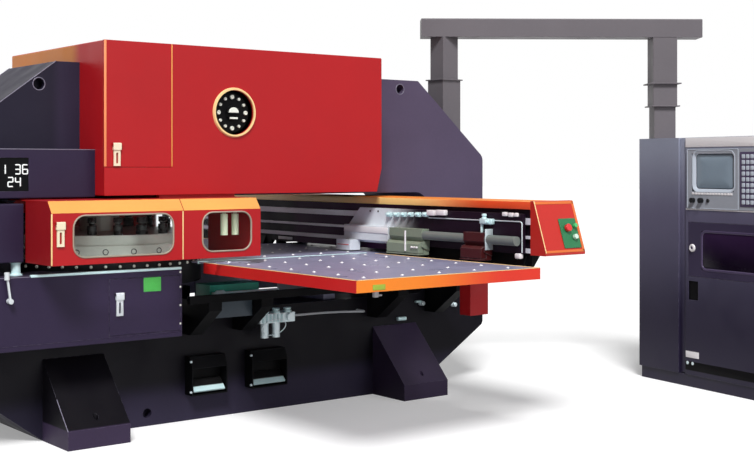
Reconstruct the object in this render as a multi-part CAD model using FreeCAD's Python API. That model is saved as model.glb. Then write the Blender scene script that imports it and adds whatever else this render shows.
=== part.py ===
import FreeCAD, Part
import math
import os

# CNC turret punch press: a bridge frame with a red head cover, a pair of
# turrets, a sheet-positioning carriage on a long beam, ball-transfer tables,
# and a control console joined to the press by an overhead cable duct.
#
# Millimetres. +X runs to the right along the press front, +Y goes from the
# front to the back, +Z is up. The origin lies on the floor, under the middle
# of the bridge frame.

os.makedirs("parts", exist_ok=True)

# ---------------------------------------------------------------- driving sizes
FRAME_LEFT, FRAME_RIGHT = -1850.0, 1860.0
FRAME_TOP = 2015.0
FRAME_HALF = 320.0            # half the thickness of the bridge frame
THROAT_LEFT, THROAT_RIGHT = -1480.0, 1370.0
THROAT_FLOOR, THROAT_ROOF = 620.0, 1285.0

TURRET_X = -830.0             # turret centre, on the frame's middle plane
TURRET_R = 575.0
STATIONS = 24
STATION_RING_R = 519.0        # the strike station lies under the crank
STRIKE_X = TURRET_X + STATION_RING_R
CRANK_Z = 1755.0

TABLE_TOP = 926.0             # top of the table plates
PLATE = 8.0                   # table plate thickness

COVER_LEFT, COVER_RIGHT = -1100.0, 740.0
COVER_HALF = 620.0
COVER_FLOOR, COVER_TOP = 1300.0, 2115.0
SHEET = 10.0                  # wall of the red head cover

GUARD_LEFT, GUARD_SEAM, GUARD_RIGHT = -1500.0, -770.0, -297.0
GUARD_FRONT = -870.0
GUARD_FLOOR, GUARD_TOP = 967.0, 1283.0
GUARD_WALL = 6.0
SEAM_GAP = 2.0

CABINET_FRONT = -620.0
CABINET_RIGHT = -642.0
CABINET_FLOOR, CABINET_TOP = 530.0, 900.0

BEAM_LEFT, BEAM_RIGHT = 780.0, 1060.0
BEAM_FLOOR, BEAM_TOP = 980.0, 1240.0
BEAM_HALF = 1870.0
WING_LEFT, WING_RIGHT = -520.0, 660.0
WING_INNER, WING_OUTER = 592.0, 2030.0
SKIRT_DEPTH = 58.0

CONSOLE_CORNER = (2774.0, -927.0)   # far front corner of the console, on the floor
CONSOLE_TURN = -8.5                 # degrees about +Z
CONSOLE_HEIGHT = 1644.0
CONSOLE_DEPTH = 560.0
CONSOLE_WIDTH = 1300.0

DUCT_TOP = 2460.0
DUCT_HEIGHT = 125.0
LEFT_POST = (1650.0, -160.0)
RIGHT_POST = (2855.0, -1060.0)

LATCH_WIDTH, LATCH_HEIGHT, LATCH_THICK = 46.0, 122.0, 14.0
LATCH_HEAD = 38.0             # height of the thick head of a latch
LATCH_GAP, LUG = 1.0, 5.0
# each latch: its left side, its top and the face it lies on
HEAD_LATCH = (-1054.0, 1577.0, -COVER_HALF)
GUARD_LATCH = (-1478.0, 1182.0, GUARD_FRONT)
CABINET_LATCH = (-1038.0, 790.0, CABINET_FRONT)


# ------------------------------------------------------------------- shape tools
def block(x, y, z):
    """A box between the two values given for each axis."""
    corner = FreeCAD.Vector(x[0], y[0], z[0])
    return Part.makeBox(x[1] - x[0], y[1] - y[0], z[1] - z[0], corner)


def rod(start, end, radius):
    """A round bar from start to end."""
    foot = FreeCAD.Vector(*start)
    along = FreeCAD.Vector(*end) - foot
    return Part.makeCylinder(radius, along.Length, foot, along)


def faceted_ring(foot, along, radius, sides):
    """A closed ring of flat sides around foot, square to the direction along."""
    turn = FreeCAD.Rotation(FreeCAD.Vector(0, 0, 1), along)
    ring = []
    for i in range(sides):
        angle = 2 * math.pi * (i + 0.5) / sides
        spoke = FreeCAD.Vector(radius * math.cos(angle), radius * math.sin(angle), 0)
        ring.append(foot + turn.multVec(spoke))
    return Part.makePolygon(ring + ring[:1])


def faceted_bar(start, end, radius, sides):
    """A bar drawn with flat sides, which keeps a part that repeats or is tiny light."""
    foot = FreeCAD.Vector(*start)
    along = FreeCAD.Vector(*end) - foot
    return Part.Face(faceted_ring(foot, along, radius, sides)).extrude(along)


def rounded_wire(points, radii):
    """A closed wire through the points, each corner rounded by its own radius."""
    count = len(points)
    corners = [FreeCAD.Vector(*p) for p in points]
    starts, ends, edges = [], [], []
    for i, corner in enumerate(corners):
        back = (corners[i - 1] - corner).normalize()
        ahead = (corners[(i + 1) % count] - corner).normalize()
        if radii[i] <= 0:
            starts.append(corner)
            ends.append(corner)
            continue
        half = back.getAngle(ahead) / 2
        reach = radii[i] / math.tan(half)
        middle = (back + ahead).normalize()
        crown = corner + middle * (radii[i] / math.sin(half) - radii[i])
        starts.append(corner + back * reach)
        ends.append(corner + ahead * reach)
        edges.append((i, Part.Arc(starts[i], crown, ends[i]).toShape()))
    arcs = dict(edges)
    chain = []
    for i in range(count):
        if i in arcs:
            chain.append(arcs[i])
        following = starts[(i + 1) % count]
        if ends[i].distanceToPoint(following) > 1e-6:
            chain.append(Part.LineSegment(ends[i], following).toShape())
    return Part.Wire(chain)


def prism(axis, points, span, radii=None):
    """A profile pushed along an axis. Points are the other two coordinates, in axis order."""
    radii = radii or [0.0] * len(points)
    low, high = span
    if axis == "x":
        placed = [(low, a, b) for a, b in points]
        push = FreeCAD.Vector(high - low, 0, 0)
    elif axis == "y":
        placed = [(a, low, b) for a, b in points]
        push = FreeCAD.Vector(0, high - low, 0)
    else:
        placed = [(a, b, low) for a, b in points]
        push = FreeCAD.Vector(0, 0, high - low)
    return Part.Face(rounded_wire(placed, radii)).extrude(push)


def rounded_panel_y(x, z, y, radius):
    """A plate facing the front, with four equal rounded corners."""
    points = [(x[0], z[0]), (x[1], z[0]), (x[1], z[1]), (x[0], z[1])]
    return prism("y", points, y, [radius] * 4)


def turned(profile, centre, axis):
    """A profile of (radius, height) points turned about an axis through centre."""
    side = FreeCAD.Vector(1, 0, 0)
    up = FreeCAD.Vector(*axis)
    base = FreeCAD.Vector(*centre)
    ring = [base + side * r + up * h for r, h in profile]
    wire = Part.makePolygon(ring + ring[:1])
    return Part.Face(wire).revolve(base, up, 360)


def both_sides(shape):
    """The shape and its mirror image across the frame's middle plane."""
    return [shape, shape.mirror(FreeCAD.Vector(0, 0, 0), FreeCAD.Vector(0, 1, 0))]


def back_copy(shape):
    """The shape mirrored to the back of the press."""
    return both_sides(shape)[1]


def fuse(first, *others):
    """One solid from pieces that touch, with shared faces cleaned."""
    joined = first
    for other in others:
        joined = joined.fuse(other)
    return joined.removeSplitter()


def cut(body, *tools):
    """The body with each tool taken out of it."""
    for tool in tools:
        body = body.cut(tool)
    return body


def save(name, *shapes):
    """Write one node: a single solid, or a group of like solids."""
    solids = [solid for shape in shapes for solid in shape.Solids]
    node = solids[0] if len(solids) == 1 else Part.makeCompound(solids)
    node.exportStep(f"parts/{name}.step")


# ------------------------------------------------------------------ bridge frame
LIFT_HOLES = ((-1330.0, 1890.0), (1130.0, 1955.0))
LIFT_R, LIFT_DEPTH = 30.0, 60.0
CRANK_SHAFT_R, SHAFT_FIT = 40.0, 0.06
CRANK_SHAFT_INSERT = 55.0
RAM_R, RAM_FIT = 50.0, 0.06
JACK_HOLE = (-695.0, 71.0)
JACK_R = 27.0


def bridge_frame():
    outline = [(-1310, 0), (1250, 0), (FRAME_RIGHT, 380), (FRAME_RIGHT, 1520), (1282, FRAME_TOP),
               (-1237, FRAME_TOP), (FRAME_LEFT, 1557), (FRAME_LEFT, 405)]
    corner_radii = [8, 8, 40, 60, 14, 14, 60, 40]
    body = prism("y", outline, (-FRAME_HALF, FRAME_HALF), corner_radii)
    throat = [(THROAT_LEFT, THROAT_FLOOR), (THROAT_RIGHT, THROAT_FLOOR),
              (THROAT_RIGHT, THROAT_ROOF), (THROAT_LEFT, THROAT_ROOF)]
    opening = prism("y", throat, (-FRAME_HALF - 1, FRAME_HALF + 1), [60, 110, 110, 60])
    body = cut(body, opening)
    for x, z in LIFT_HOLES:
        for side in (-1, 1):
            mouth = (x, side * (FRAME_HALF + 1), z)
            body = cut(body, rod(mouth, (x, side * (FRAME_HALF - LIFT_DEPTH), z), LIFT_R))
    jack = rod((JACK_HOLE[0], -FRAME_HALF - 1, JACK_HOLE[1]), (JACK_HOLE[0], -260, JACK_HOLE[1]), JACK_R)
    crank_end = -FRAME_HALF + CRANK_SHAFT_INSERT
    crank = rod((STRIKE_X, -FRAME_HALF - 1, CRANK_Z), (STRIKE_X, crank_end, CRANK_Z),
                CRANK_SHAFT_R + SHAFT_FIT)
    save("bridge_frame", cut(body, jack, crank))


FOOT_SPANS = ((-1310.0, -960.0), (905.0, 1260.0))
FOOT_REACH = 640.0
TOE_HEIGHT = 98.0
FOOT_RISE = 432.0
ANCHOR_Y = 590.0
ANCHOR_R = 14.0


def foot_toes():
    toes = []
    for span in FOOT_SPANS:
        side = [(-FOOT_REACH, 0), (-FRAME_HALF, 0), (-FRAME_HALF, FOOT_RISE), (-FOOT_REACH, TOE_HEIGHT)]
        toe = prism("x", side, span)
        middle = sum(span) / 2
        anchor = rod((middle, -ANCHOR_Y, -1), (middle, -ANCHOR_Y, FOOT_RISE), ANCHOR_R)
        toes += both_sides(toe.cut(anchor))
    save("foot_toes", *toes)


# -------------------------------------------------------------- head cover, door
DOOR_SEAM = -703.0
DOOR_FLOOR = 1450.0
DOOR_THICK = 18.0
DIAL_R = 124.0
CHAMFER_WIDTH, CHAMFER_HEIGHT = 35.0, 144.0


def head_cover():
    front = [(COVER_LEFT, COVER_FLOOR), (COVER_RIGHT - CHAMFER_WIDTH, COVER_FLOOR),
             (COVER_RIGHT, COVER_FLOOR + CHAMFER_HEIGHT), (COVER_RIGHT, COVER_TOP), (COVER_LEFT, COVER_TOP)]
    shell = prism("y", front, (-COVER_HALF, COVER_HALF), [4, 4, 4, 8, 8])
    inside = [(COVER_LEFT + SHEET, COVER_FLOOR + SHEET),
              (COVER_RIGHT - CHAMFER_WIDTH - SHEET, COVER_FLOOR + SHEET),
              (COVER_RIGHT - SHEET, COVER_FLOOR + CHAMFER_HEIGHT), (COVER_RIGHT - SHEET, COVER_TOP - SHEET),
              (COVER_LEFT + SHEET, COVER_TOP - SHEET)]
    hollow = prism("y", inside, (-COVER_HALF + SHEET, COVER_HALF - SHEET))
    slot = block((COVER_LEFT - 1, COVER_RIGHT + 1), (-FRAME_HALF, FRAME_HALF), (COVER_FLOOR - 1, FRAME_TOP))
    doorway = block((COVER_LEFT - 1, DOOR_SEAM), (-COVER_HALF - 1, -COVER_HALF + DOOR_THICK + SEAM_GAP),
                    (DOOR_FLOOR - SEAM_GAP, COVER_TOP + 1))
    dial_hole = rod((STRIKE_X, -COVER_HALF - 1, CRANK_Z), (STRIKE_X, -COVER_HALF + SHEET + 1, CRANK_Z),
                    DIAL_R)
    partition = block((DOOR_SEAM, DOOR_SEAM + SHEET), (-COVER_HALF + SHEET, -FRAME_HALF),
                      (COVER_FLOOR + SHEET, COVER_TOP - SHEET))
    save("head_cover", fuse(cut(shell, hollow, slot, doorway, dial_hole), partition))


def head_door():
    outer = block((COVER_LEFT, DOOR_SEAM - SEAM_GAP), (-COVER_HALF, -COVER_HALF + DOOR_THICK),
                  (DOOR_FLOOR, COVER_TOP))
    pocket = block((COVER_LEFT + 14, DOOR_SEAM - SEAM_GAP - 14),
                   (-COVER_HALF + 4, -COVER_HALF + DOOR_THICK + 1),
                   (DOOR_FLOOR + 14, COVER_TOP - 14))
    save("head_door", fuse(outer.cut(pocket), *latch_lugs(*HEAD_LATCH)))


def dial_trim():
    profile = [(DIAL_R + 1, -COVER_HALF - 12), (135, -COVER_HALF - 12), (140, -COVER_HALF),
               (DIAL_R + 1, -COVER_HALF)]
    save("dial_trim", turned(profile, (STRIKE_X, 0, CRANK_Z), (0, 1, 0)))


CLUTCH_FACE = -592.0
CLUTCH_BACK = -545.0


def clutch():
    """The flywheel clutch behind the dial: a disc on the crank shaft, its boss split by a slot."""
    disc = rod((STRIKE_X, CLUTCH_FACE, CRANK_Z), (STRIKE_X, CLUTCH_BACK, CRANK_Z), 112)
    shaft_end = -FRAME_HALF + CRANK_SHAFT_INSERT - 3
    shaft = rod((STRIKE_X, CLUTCH_BACK, CRANK_Z), (STRIKE_X, shaft_end, CRANK_Z), CRANK_SHAFT_R)
    boss_face = CLUTCH_FACE - 20
    boss = rod((STRIKE_X, CLUTCH_FACE, CRANK_Z), (STRIKE_X, boss_face, CRANK_Z), 42)
    slot = block((STRIKE_X - 50, STRIKE_X + 50), (boss_face - 1, CLUTCH_FACE - 4),
                 (CRANK_Z - 24, CRANK_Z - 4))
    save("clutch_disc", fuse(disc, shaft, boss.cut(slot)))


# ------------------------------------------------- readout box and side housings
READOUT_FRONT = -510.0
READOUT_FLOOR, READOUT_TOP = 1290.0, 1542.0
SCREEN_X = (-1800.0, -1465.0)
SCREEN_Z = (1327.0, 1497.0)


def readout():
    side = [(READOUT_FRONT, READOUT_FLOOR), (-FRAME_HALF, READOUT_FLOOR), (-FRAME_HALF, READOUT_TOP),
            (READOUT_FRONT, READOUT_TOP)]
    housing = prism("x", side, (FRAME_LEFT, COVER_LEFT), [6, 0, 0, 6])
    recess = block(SCREEN_X, (READOUT_FRONT - 1, READOUT_FRONT + 14), SCREEN_Z)
    save("readout_housing", housing.cut(recess))
    readout_pane = block(SCREEN_X, (READOUT_FRONT + 4, READOUT_FRONT + 14), SCREEN_Z)
    monitor_pane = at_console(console_box(SCREEN[0], (14, 24), SCREEN[1]))
    save("display_screens", readout_pane, monitor_pane)


SIDE_BOX_RIGHT = GUARD_LEFT - 8
SIDE_BOX_FRONT = -546.0
SIDE_BOX_FLOOR = 968.0
SIDE_POST = (-1532.0, -505.0)


def side_housing():
    """The box left of the guard, and the round post it stands on."""
    side = [(SIDE_BOX_FRONT, SIDE_BOX_FLOOR), (-FRAME_HALF, SIDE_BOX_FLOOR), (-FRAME_HALF, 1264),
            (SIDE_BOX_FRONT, 1264)]
    box = prism("x", side, (FRAME_LEFT, SIDE_BOX_RIGHT), [6, 0, 0, 6])
    post = rod((*SIDE_POST, CABINET_TOP), (*SIDE_POST, SIDE_BOX_FLOOR), 22)
    save("side_housing", fuse(box, post))


# ---------------------------------------------------------------- service cabinet
CABINET_SEAM = -1074.0
CABINET_DOOR_FLOOR, CABINET_DOOR_TOP = 566.0, 862.0
CABINET_DOOR_RIGHT = -652.0
CABINET_DOOR_THICK = 18.0
TRIM_LINE = 558.0
TURRET_WELL_FLOOR = 790.0


def service_cabinet():
    side = [(CABINET_FRONT, CABINET_FLOOR), (-FRAME_HALF, CABINET_FLOOR), (-FRAME_HALF, CABINET_TOP),
            (CABINET_FRONT, CABINET_TOP)]
    body = prism("x", side, (FRAME_LEFT, CABINET_RIGHT), [4, 0, 0, 6])
    doorway = block((CABINET_SEAM, CABINET_DOOR_RIGHT + SEAM_GAP),
                    (CABINET_FRONT - 1, CABINET_FRONT + CABINET_DOOR_THICK + 1),
                    (CABINET_DOOR_FLOOR - SEAM_GAP, CABINET_DOOR_TOP + SEAM_GAP))
    chamber = block((CABINET_SEAM + 16, CABINET_DOOR_RIGHT - 14), (CABINET_FRONT, -FRAME_HALF - 12),
                    (CABINET_DOOR_FLOOR + 14, TURRET_WELL_FLOOR - 14))
    turret_well = rod((TURRET_X, 0, TURRET_WELL_FLOOR), (TURRET_X, 0, CABINET_TOP + 1), TURRET_R + 12)
    groove = block((FRAME_LEFT - 1, CABINET_RIGHT + 1), (CABINET_FRONT - 1, CABINET_FRONT + 3),
                   (TRIM_LINE - 3, TRIM_LINE))
    save("service_cabinet", cut(body, doorway, chamber, turret_well, groove))


def cabinet_door():
    panel = block((CABINET_SEAM + SEAM_GAP, CABINET_DOOR_RIGHT),
                  (CABINET_FRONT, CABINET_FRONT + CABINET_DOOR_THICK),
                  (CABINET_DOOR_FLOOR, CABINET_DOOR_TOP))
    pocket = block((CABINET_SEAM + SEAM_GAP + 18, CABINET_DOOR_RIGHT - 18),
                   (CABINET_FRONT + 4, CABINET_FRONT + 30),
                   (CABINET_DOOR_FLOOR + 18, CABINET_DOOR_TOP - 18))
    save("cabinet_door", fuse(panel.cut(pocket), *latch_lugs(*CABINET_LATCH)))


LEVER_X, LEVER_Z = -1615.0, 785.0
LEVER_TOP = 930.0
LEVER_LEAN = 18.0             # how far the knob stands to the left of the hub
LEVER_KNOB = 38.0             # height of the knob


def side_lever():
    hub = rod((LEVER_X, CABINET_FRONT - 1, LEVER_Z), (LEVER_X, CABINET_FRONT - 36, LEVER_Z), 13)
    knob_x = LEVER_X - LEVER_LEAN
    side = [(LEVER_X - 5, LEVER_Z), (LEVER_X + 5, LEVER_Z), (knob_x + 5, LEVER_TOP - LEVER_KNOB / 2),
            (knob_x - 5, LEVER_TOP - LEVER_KNOB / 2)]
    arm = prism("y", side, (CABINET_FRONT - 30, CABINET_FRONT - 20))
    knob = faceted_bar((knob_x, CABINET_FRONT - 25, LEVER_TOP - LEVER_KNOB),
                       (knob_x, CABINET_FRONT - 25, LEVER_TOP), 13, 16)
    save("side_lever", fuse(hub, arm, knob))


# ------------------------------------------------------------------ turret guard
BEVEL_FLOOR = 1222.0
BEVEL_SET_BACK = 48.0
WINDOW_Z = (1005.0, 1208.0)
DOOR_WINDOW_X = (-1383.0, -835.0)
FIXED_WINDOW_X = (-657.0, -360.0)
WINDOW_R = 58.0
PANE, PANE_LAP = 5.0, 20.0    # thickness of the clear sheet, and how far it laps the window
GUARD_DOOR_BACK = -552.0


def guard_sheet(span, back):
    """The folded front of the guard: an upright face, a bevel and a top."""
    inner_slope = GUARD_WALL * 0.6
    profile = [(GUARD_FRONT, GUARD_FLOOR), (GUARD_FRONT, BEVEL_FLOOR),
               (GUARD_FRONT + BEVEL_SET_BACK, GUARD_TOP),
               (back, GUARD_TOP), (back, GUARD_TOP - GUARD_WALL),
               (GUARD_FRONT + BEVEL_SET_BACK + inner_slope, GUARD_TOP - GUARD_WALL),
               (GUARD_FRONT + GUARD_WALL, BEVEL_FLOOR - inner_slope), (GUARD_FRONT + GUARD_WALL, GUARD_FLOOR)]
    return prism("x", profile, span)


def guard_end(span, back):
    """An end wall that follows the guard's profile."""
    profile = [(GUARD_FRONT, GUARD_FLOOR), (GUARD_FRONT, BEVEL_FLOOR),
               (GUARD_FRONT + BEVEL_SET_BACK, GUARD_TOP),
               (back, GUARD_TOP), (back, GUARD_FLOOR)]
    return prism("x", profile, span)


def window_hole(window_x):
    """A rounded window through the guard's front."""
    return rounded_panel_y(window_x, WINDOW_Z, (GUARD_FRONT - 5, GUARD_FRONT + GUARD_WALL + 5), WINDOW_R)


def window_pane(window_x):
    """The clear sheet fastened behind a window, larger than it all round."""
    y = (GUARD_FRONT + GUARD_WALL, GUARD_FRONT + GUARD_WALL + PANE)
    z = (WINDOW_Z[0] - PANE_LAP, WINDOW_Z[1] + PANE_LAP / 2)
    return block((window_x[0] - PANE_LAP, window_x[1] + PANE_LAP), y, z)


def turret_guard():
    sheet = guard_sheet((GUARD_LEFT, GUARD_SEAM - SEAM_GAP), GUARD_DOOR_BACK)
    end = guard_end((GUARD_LEFT, GUARD_LEFT + GUARD_WALL), GUARD_DOOR_BACK)
    door = fuse(sheet, end).cut(window_hole(DOOR_WINDOW_X))
    save("guard_door", fuse(door, *latch_lugs(*GUARD_LATCH)))
    save("guard_door_window", window_pane(DOOR_WINDOW_X))

    sheet = guard_sheet((GUARD_SEAM, GUARD_RIGHT), -FRAME_HALF)
    end = guard_end((GUARD_RIGHT - GUARD_WALL, GUARD_RIGHT), -FRAME_HALF)
    shelf = block((GUARD_LEFT, GUARD_SEAM), (GUARD_DOOR_BACK + SEAM_GAP, -FRAME_HALF),
                  (GUARD_TOP - GUARD_WALL, GUARD_TOP))
    hanger = block((GUARD_SEAM, GUARD_RIGHT), (-600, -566), (GUARD_TOP, COVER_FLOOR))
    save("guard_fixed", fuse(sheet, end, shelf, hanger).cut(window_hole(FIXED_WINDOW_X)))
    save("guard_window", window_pane(FIXED_WINDOW_X))

    back = guard_sheet((GUARD_LEFT, GUARD_RIGHT), -FRAME_HALF)
    left = guard_end((GUARD_LEFT, GUARD_LEFT + GUARD_WALL), -FRAME_HALF)
    right = guard_end((GUARD_RIGHT - GUARD_WALL, GUARD_RIGHT), -FRAME_HALF)
    rear_hanger = block((COVER_LEFT, GUARD_RIGHT), (-600, -566), (GUARD_TOP, COVER_FLOOR))
    save("rear_guard", back_copy(fuse(back, left, right, rear_hanger)))


AIR_CYLINDERS_X, AIR_CYLINDERS_Y = (-462.0, -392.0), -760.0


def air_cylinders():
    pair = []
    for x in AIR_CYLINDERS_X:
        barrel = rod((x, AIR_CYLINDERS_Y, 1080), (x, AIR_CYLINDERS_Y, 1195), 20)
        top = GUARD_TOP - GUARD_WALL
        stem = block((x - 8, x + 8), (AIR_CYLINDERS_Y - 8, AIR_CYLINDERS_Y + 8), (1195, top))
        pair.append(fuse(barrel, stem))
    save("air_cylinders", *pair)


# ----------------------------------------------------------------------- latches
def latch(left, top, face):
    """A lift latch: a thick head that turns between two lugs, and a slotted tongue below it."""
    depth = (face - LATCH_GAP - LATCH_THICK, face - LATCH_GAP)
    middle = (depth[0] + depth[1]) / 2
    pivot_z = top - LATCH_THICK / 2
    half = LATCH_THICK / 2
    bevel = half * math.tan(math.pi / 8)
    profile = [(depth[0], top - LATCH_HEAD), (depth[1], top - LATCH_HEAD), (depth[1], pivot_z + bevel),
               (middle + bevel, top), (middle - bevel, top), (depth[0], pivot_z + bevel)]
    head = prism("x", profile, (left, left + LATCH_WIDTH))
    tongue = block((left + 4, left + LATCH_WIDTH - 4), (depth[0] + 5, depth[1] - 1),
                   (top - LATCH_HEIGHT, top - LATCH_HEAD))
    slot_middle = left + LATCH_WIDTH / 2
    slot = block((slot_middle - 6, slot_middle + 6), (depth[0], face),
                 (top - LATCH_HEIGHT + 14, top - LATCH_HEAD - 14))
    return fuse(head, tongue).cut(slot)


def latch_lugs(left, top, face):
    """The two lugs that hold a latch, on either side of its head."""
    depth = (face - LATCH_GAP - LATCH_THICK, face)
    height = (top - LATCH_THICK, top)
    near = block((left - LATCH_GAP - LUG, left - LATCH_GAP), depth, height)
    far = block((left + LATCH_WIDTH + LATCH_GAP, left + LATCH_WIDTH + LATCH_GAP + LUG), depth, height)
    return near, far


def latches():
    save("head_latch", latch(*HEAD_LATCH))
    save("guard_latch", latch(*GUARD_LATCH))
    save("cabinet_latch", latch(*CABINET_LATCH))


# ----------------------------------------------------------------- turrets, ram
UPPER_FLOOR, UPPER_STEP, UPPER_TOP = 965.0, 1032.0, 1086.0
LOWER_FLOOR, LOWER_TOP = 806.0, 938.0
PUNCH_TOP = 1180.0
HUB_R, SPINDLE_R = 110.0, 70.0
HUB_SIDES = 24                # the hubs and spindles are hidden, so they are drawn flat-sided
THRUST_GAP = 0.4              # running gap between a turret's hub and its spindle's face
UPPER_HUB_TOP = 1190.0
LOWER_HUB_FLOOR = 720.0


def station_angle(i):
    return math.radians(360.0 * i / STATIONS)


def turrets():
    upper = rod((TURRET_X, 0, UPPER_FLOOR), (TURRET_X, 0, UPPER_STEP), TURRET_R)
    upper_rim = rod((TURRET_X, 0, UPPER_STEP), (TURRET_X, 0, UPPER_TOP), TURRET_R - 16)
    upper_hub = faceted_bar((TURRET_X, 0, UPPER_TOP), (TURRET_X, 0, UPPER_HUB_TOP), HUB_R, HUB_SIDES)
    save("upper_turret", fuse(upper, upper_rim, upper_hub))
    lower = rod((TURRET_X, 0, LOWER_FLOOR), (TURRET_X, 0, LOWER_TOP), TURRET_R)
    lower_hub = faceted_bar((TURRET_X, 0, LOWER_HUB_FLOOR), (TURRET_X, 0, LOWER_FLOOR), HUB_R, HUB_SIDES)
    save("lower_turret", fuse(lower, lower_hub))
    upper_spindle = faceted_bar((TURRET_X, 0, UPPER_HUB_TOP + THRUST_GAP), (TURRET_X, 0, THROAT_ROOF),
                                SPINDLE_R, HUB_SIDES)
    lower_spindle = faceted_bar((TURRET_X, 0, THROAT_FLOOR), (TURRET_X, 0, LOWER_HUB_FLOOR - THRUST_GAP),
                                SPINDLE_R, HUB_SIDES)
    save("turret_spindles", upper_spindle, lower_spindle)

    punches = []
    for i in range(STATIONS):
        x = TURRET_X + STATION_RING_R * math.cos(station_angle(i))
        y = STATION_RING_R * math.sin(station_angle(i))
        radius = 34.0 if i % 3 == 0 else 26.0
        punches.append(faceted_bar((x, y, UPPER_TOP), (x, y, PUNCH_TOP), radius, 10))
    save("punches", *punches)


RAM_REST = 1222.0             # under side of the ram at the top of its stroke


def ram():
    housing = block((STRIKE_X - 105, STRIKE_X + 105), (-110, 110), (1236, THROAT_ROOF))
    bore = rod((STRIKE_X, 0, 1235), (STRIKE_X, 0, THROAT_ROOF + 1), RAM_R + RAM_FIT)
    save("ram_housing", housing.cut(bore))
    save("ram", rod((STRIKE_X, 0, RAM_REST), (STRIKE_X, 0, THROAT_ROOF - 1), RAM_R))


# ----------------------------------------------------------------------- tables
CENTRE_LEFT, CENTRE_RIGHT = -520.0, 1340.0
CENTRE_HALF = 575.0
TURRET_CLEARANCE = 22.0
APRON = 9.0                   # thickness of the sheet that closes the back below the table
APRON_FLOOR = 625.0
CROSS_RAIL_Y = (-636.0, -600.0)
CROSS_RAIL_Z = (700.0, 742.0)
BRACKET_X = (-440.0, -100.0, 900.0, 1380.0)
BRACKET_HALF = 40.0


def centre_table():
    plate = block((CENTRE_LEFT, CENTRE_RIGHT), (-CENTRE_HALF, CENTRE_HALF), (TABLE_TOP - PLATE, TABLE_TOP))
    around = rod((TURRET_X, 0, 0), (TURRET_X, 0, FRAME_TOP), TURRET_R + TURRET_CLEARANCE)
    legs = []
    for x in (-60, 560, 1150):
        legs.append(block((x, x + 90), (-260, 260), (THROAT_FLOOR, TABLE_TOP - PLATE)))
    apron = block((CENTRE_LEFT, CENTRE_RIGHT - 5), (CENTRE_HALF - APRON, CENTRE_HALF),
                  (APRON_FLOOR, TABLE_TOP - PLATE))
    for x in BRACKET_X:
        notch = block((x - BRACKET_HALF - 4, x + BRACKET_HALF + 4),
                      (CENTRE_HALF - 2 * APRON, CENTRE_HALF + 1),
                      (APRON_FLOOR - 1, CROSS_RAIL_Z[0] + 5))
        apron = apron.cut(notch)
    save("centre_table", fuse(plate.cut(around), *legs, apron))


WING_EDGE = 9.0               # thickness of the skirt round a wing table
WING_RIBS = (-300.0, 90.0, 480.0)
SKIRT_END = -655.0            # the skirt stops short of the service cabinet
RIB = 10.0


def wing_tables():
    """The two side tables: a plate lying in a welded skirt with ribs under it."""
    plate = block((WING_LEFT, WING_RIGHT), (-WING_OUTER, -WING_INNER), (TABLE_TOP - PLATE, TABLE_TOP))
    save("wing_tables", *both_sides(plate))
    depth = (TABLE_TOP - SKIRT_DEPTH, TABLE_TOP)
    outer = block((WING_LEFT - WING_EDGE, WING_RIGHT + WING_EDGE), (-WING_OUTER - WING_EDGE, SKIRT_END),
                  depth)
    inner = block((WING_LEFT, WING_RIGHT), (-WING_OUTER, SKIRT_END + 1), (depth[0] - 1, depth[1] + 1))
    rib_depth = (depth[0] + 10, TABLE_TOP - PLATE)
    ribs = [block((x, x + RIB), (-WING_OUTER, SKIRT_END), rib_depth) for x in WING_RIBS]
    cross = block((WING_LEFT, WING_RIGHT), (SKIRT_END - RIB, SKIRT_END), rib_depth)
    save("wing_skirts", *both_sides(fuse(outer.cut(inner), cross, *ribs)))


# ------------------------------------------------------- carriage beam and rails
RAIL_Z = ((1140.0, 1175.0), (1064.0, 1080.0), (988.0, 1012.0))
RAIL_PROUD = 15.0
BEAM_COVER_TOP = 1264.0
CAP_FACE_TOP, CAP_FACE_FLOOR = -1892.0, -1985.0
CAP_FLOOR, CAP_TOP = 978.0, 1268.0
BOX_BEAM_SPAN = (-600.0, 1500.0)
LIP = 6.0                     # thickness of the sheets that hang under the beam's front
LIP_FLOOR = 945.0
LIP_HALF = 660.0              # beyond this the apron of the side tables takes over


def beam():
    """The box beam with its overhanging top plate, three guide rails and two slanted end caps."""
    section = [(BEAM_LEFT, BEAM_FLOOR), (BEAM_RIGHT, BEAM_FLOOR), (BEAM_RIGHT, BEAM_TOP),
               (BEAM_RIGHT + 6, BEAM_TOP),
               (BEAM_RIGHT + 6, BEAM_COVER_TOP), (BEAM_LEFT - 12, BEAM_COVER_TOP), (BEAM_LEFT - 12, BEAM_TOP),
               (BEAM_LEFT, BEAM_TOP)]
    lip = block((BEAM_LEFT, BEAM_LEFT + LIP), (-LIP_HALF, LIP_HALF), (LIP_FLOOR, BEAM_FLOOR))
    box = prism("y", section, (-BEAM_HALF, BEAM_HALF), [0, 0, 0, 0, 8, 8, 0, 0])
    save("carriage_beam", fuse(box, lip))
    rails = [block((BEAM_LEFT - RAIL_PROUD, BEAM_LEFT), (-BEAM_HALF, BEAM_HALF), z) for z in RAIL_Z]
    save("beam_rails", *rails)
    cap = [(-BEAM_HALF, CAP_FLOOR), (CAP_FACE_FLOOR, CAP_FLOOR), (CAP_FACE_FLOOR, CAP_FLOOR + 14),
           (CAP_FACE_TOP, CAP_TOP), (-BEAM_HALF, CAP_TOP)]
    end_cap = prism("x", cap, (BEAM_LEFT - 14, BEAM_RIGHT + 8), [0, 6, 6, 8, 0])
    save("end_caps", *both_sides(end_cap))


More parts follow.
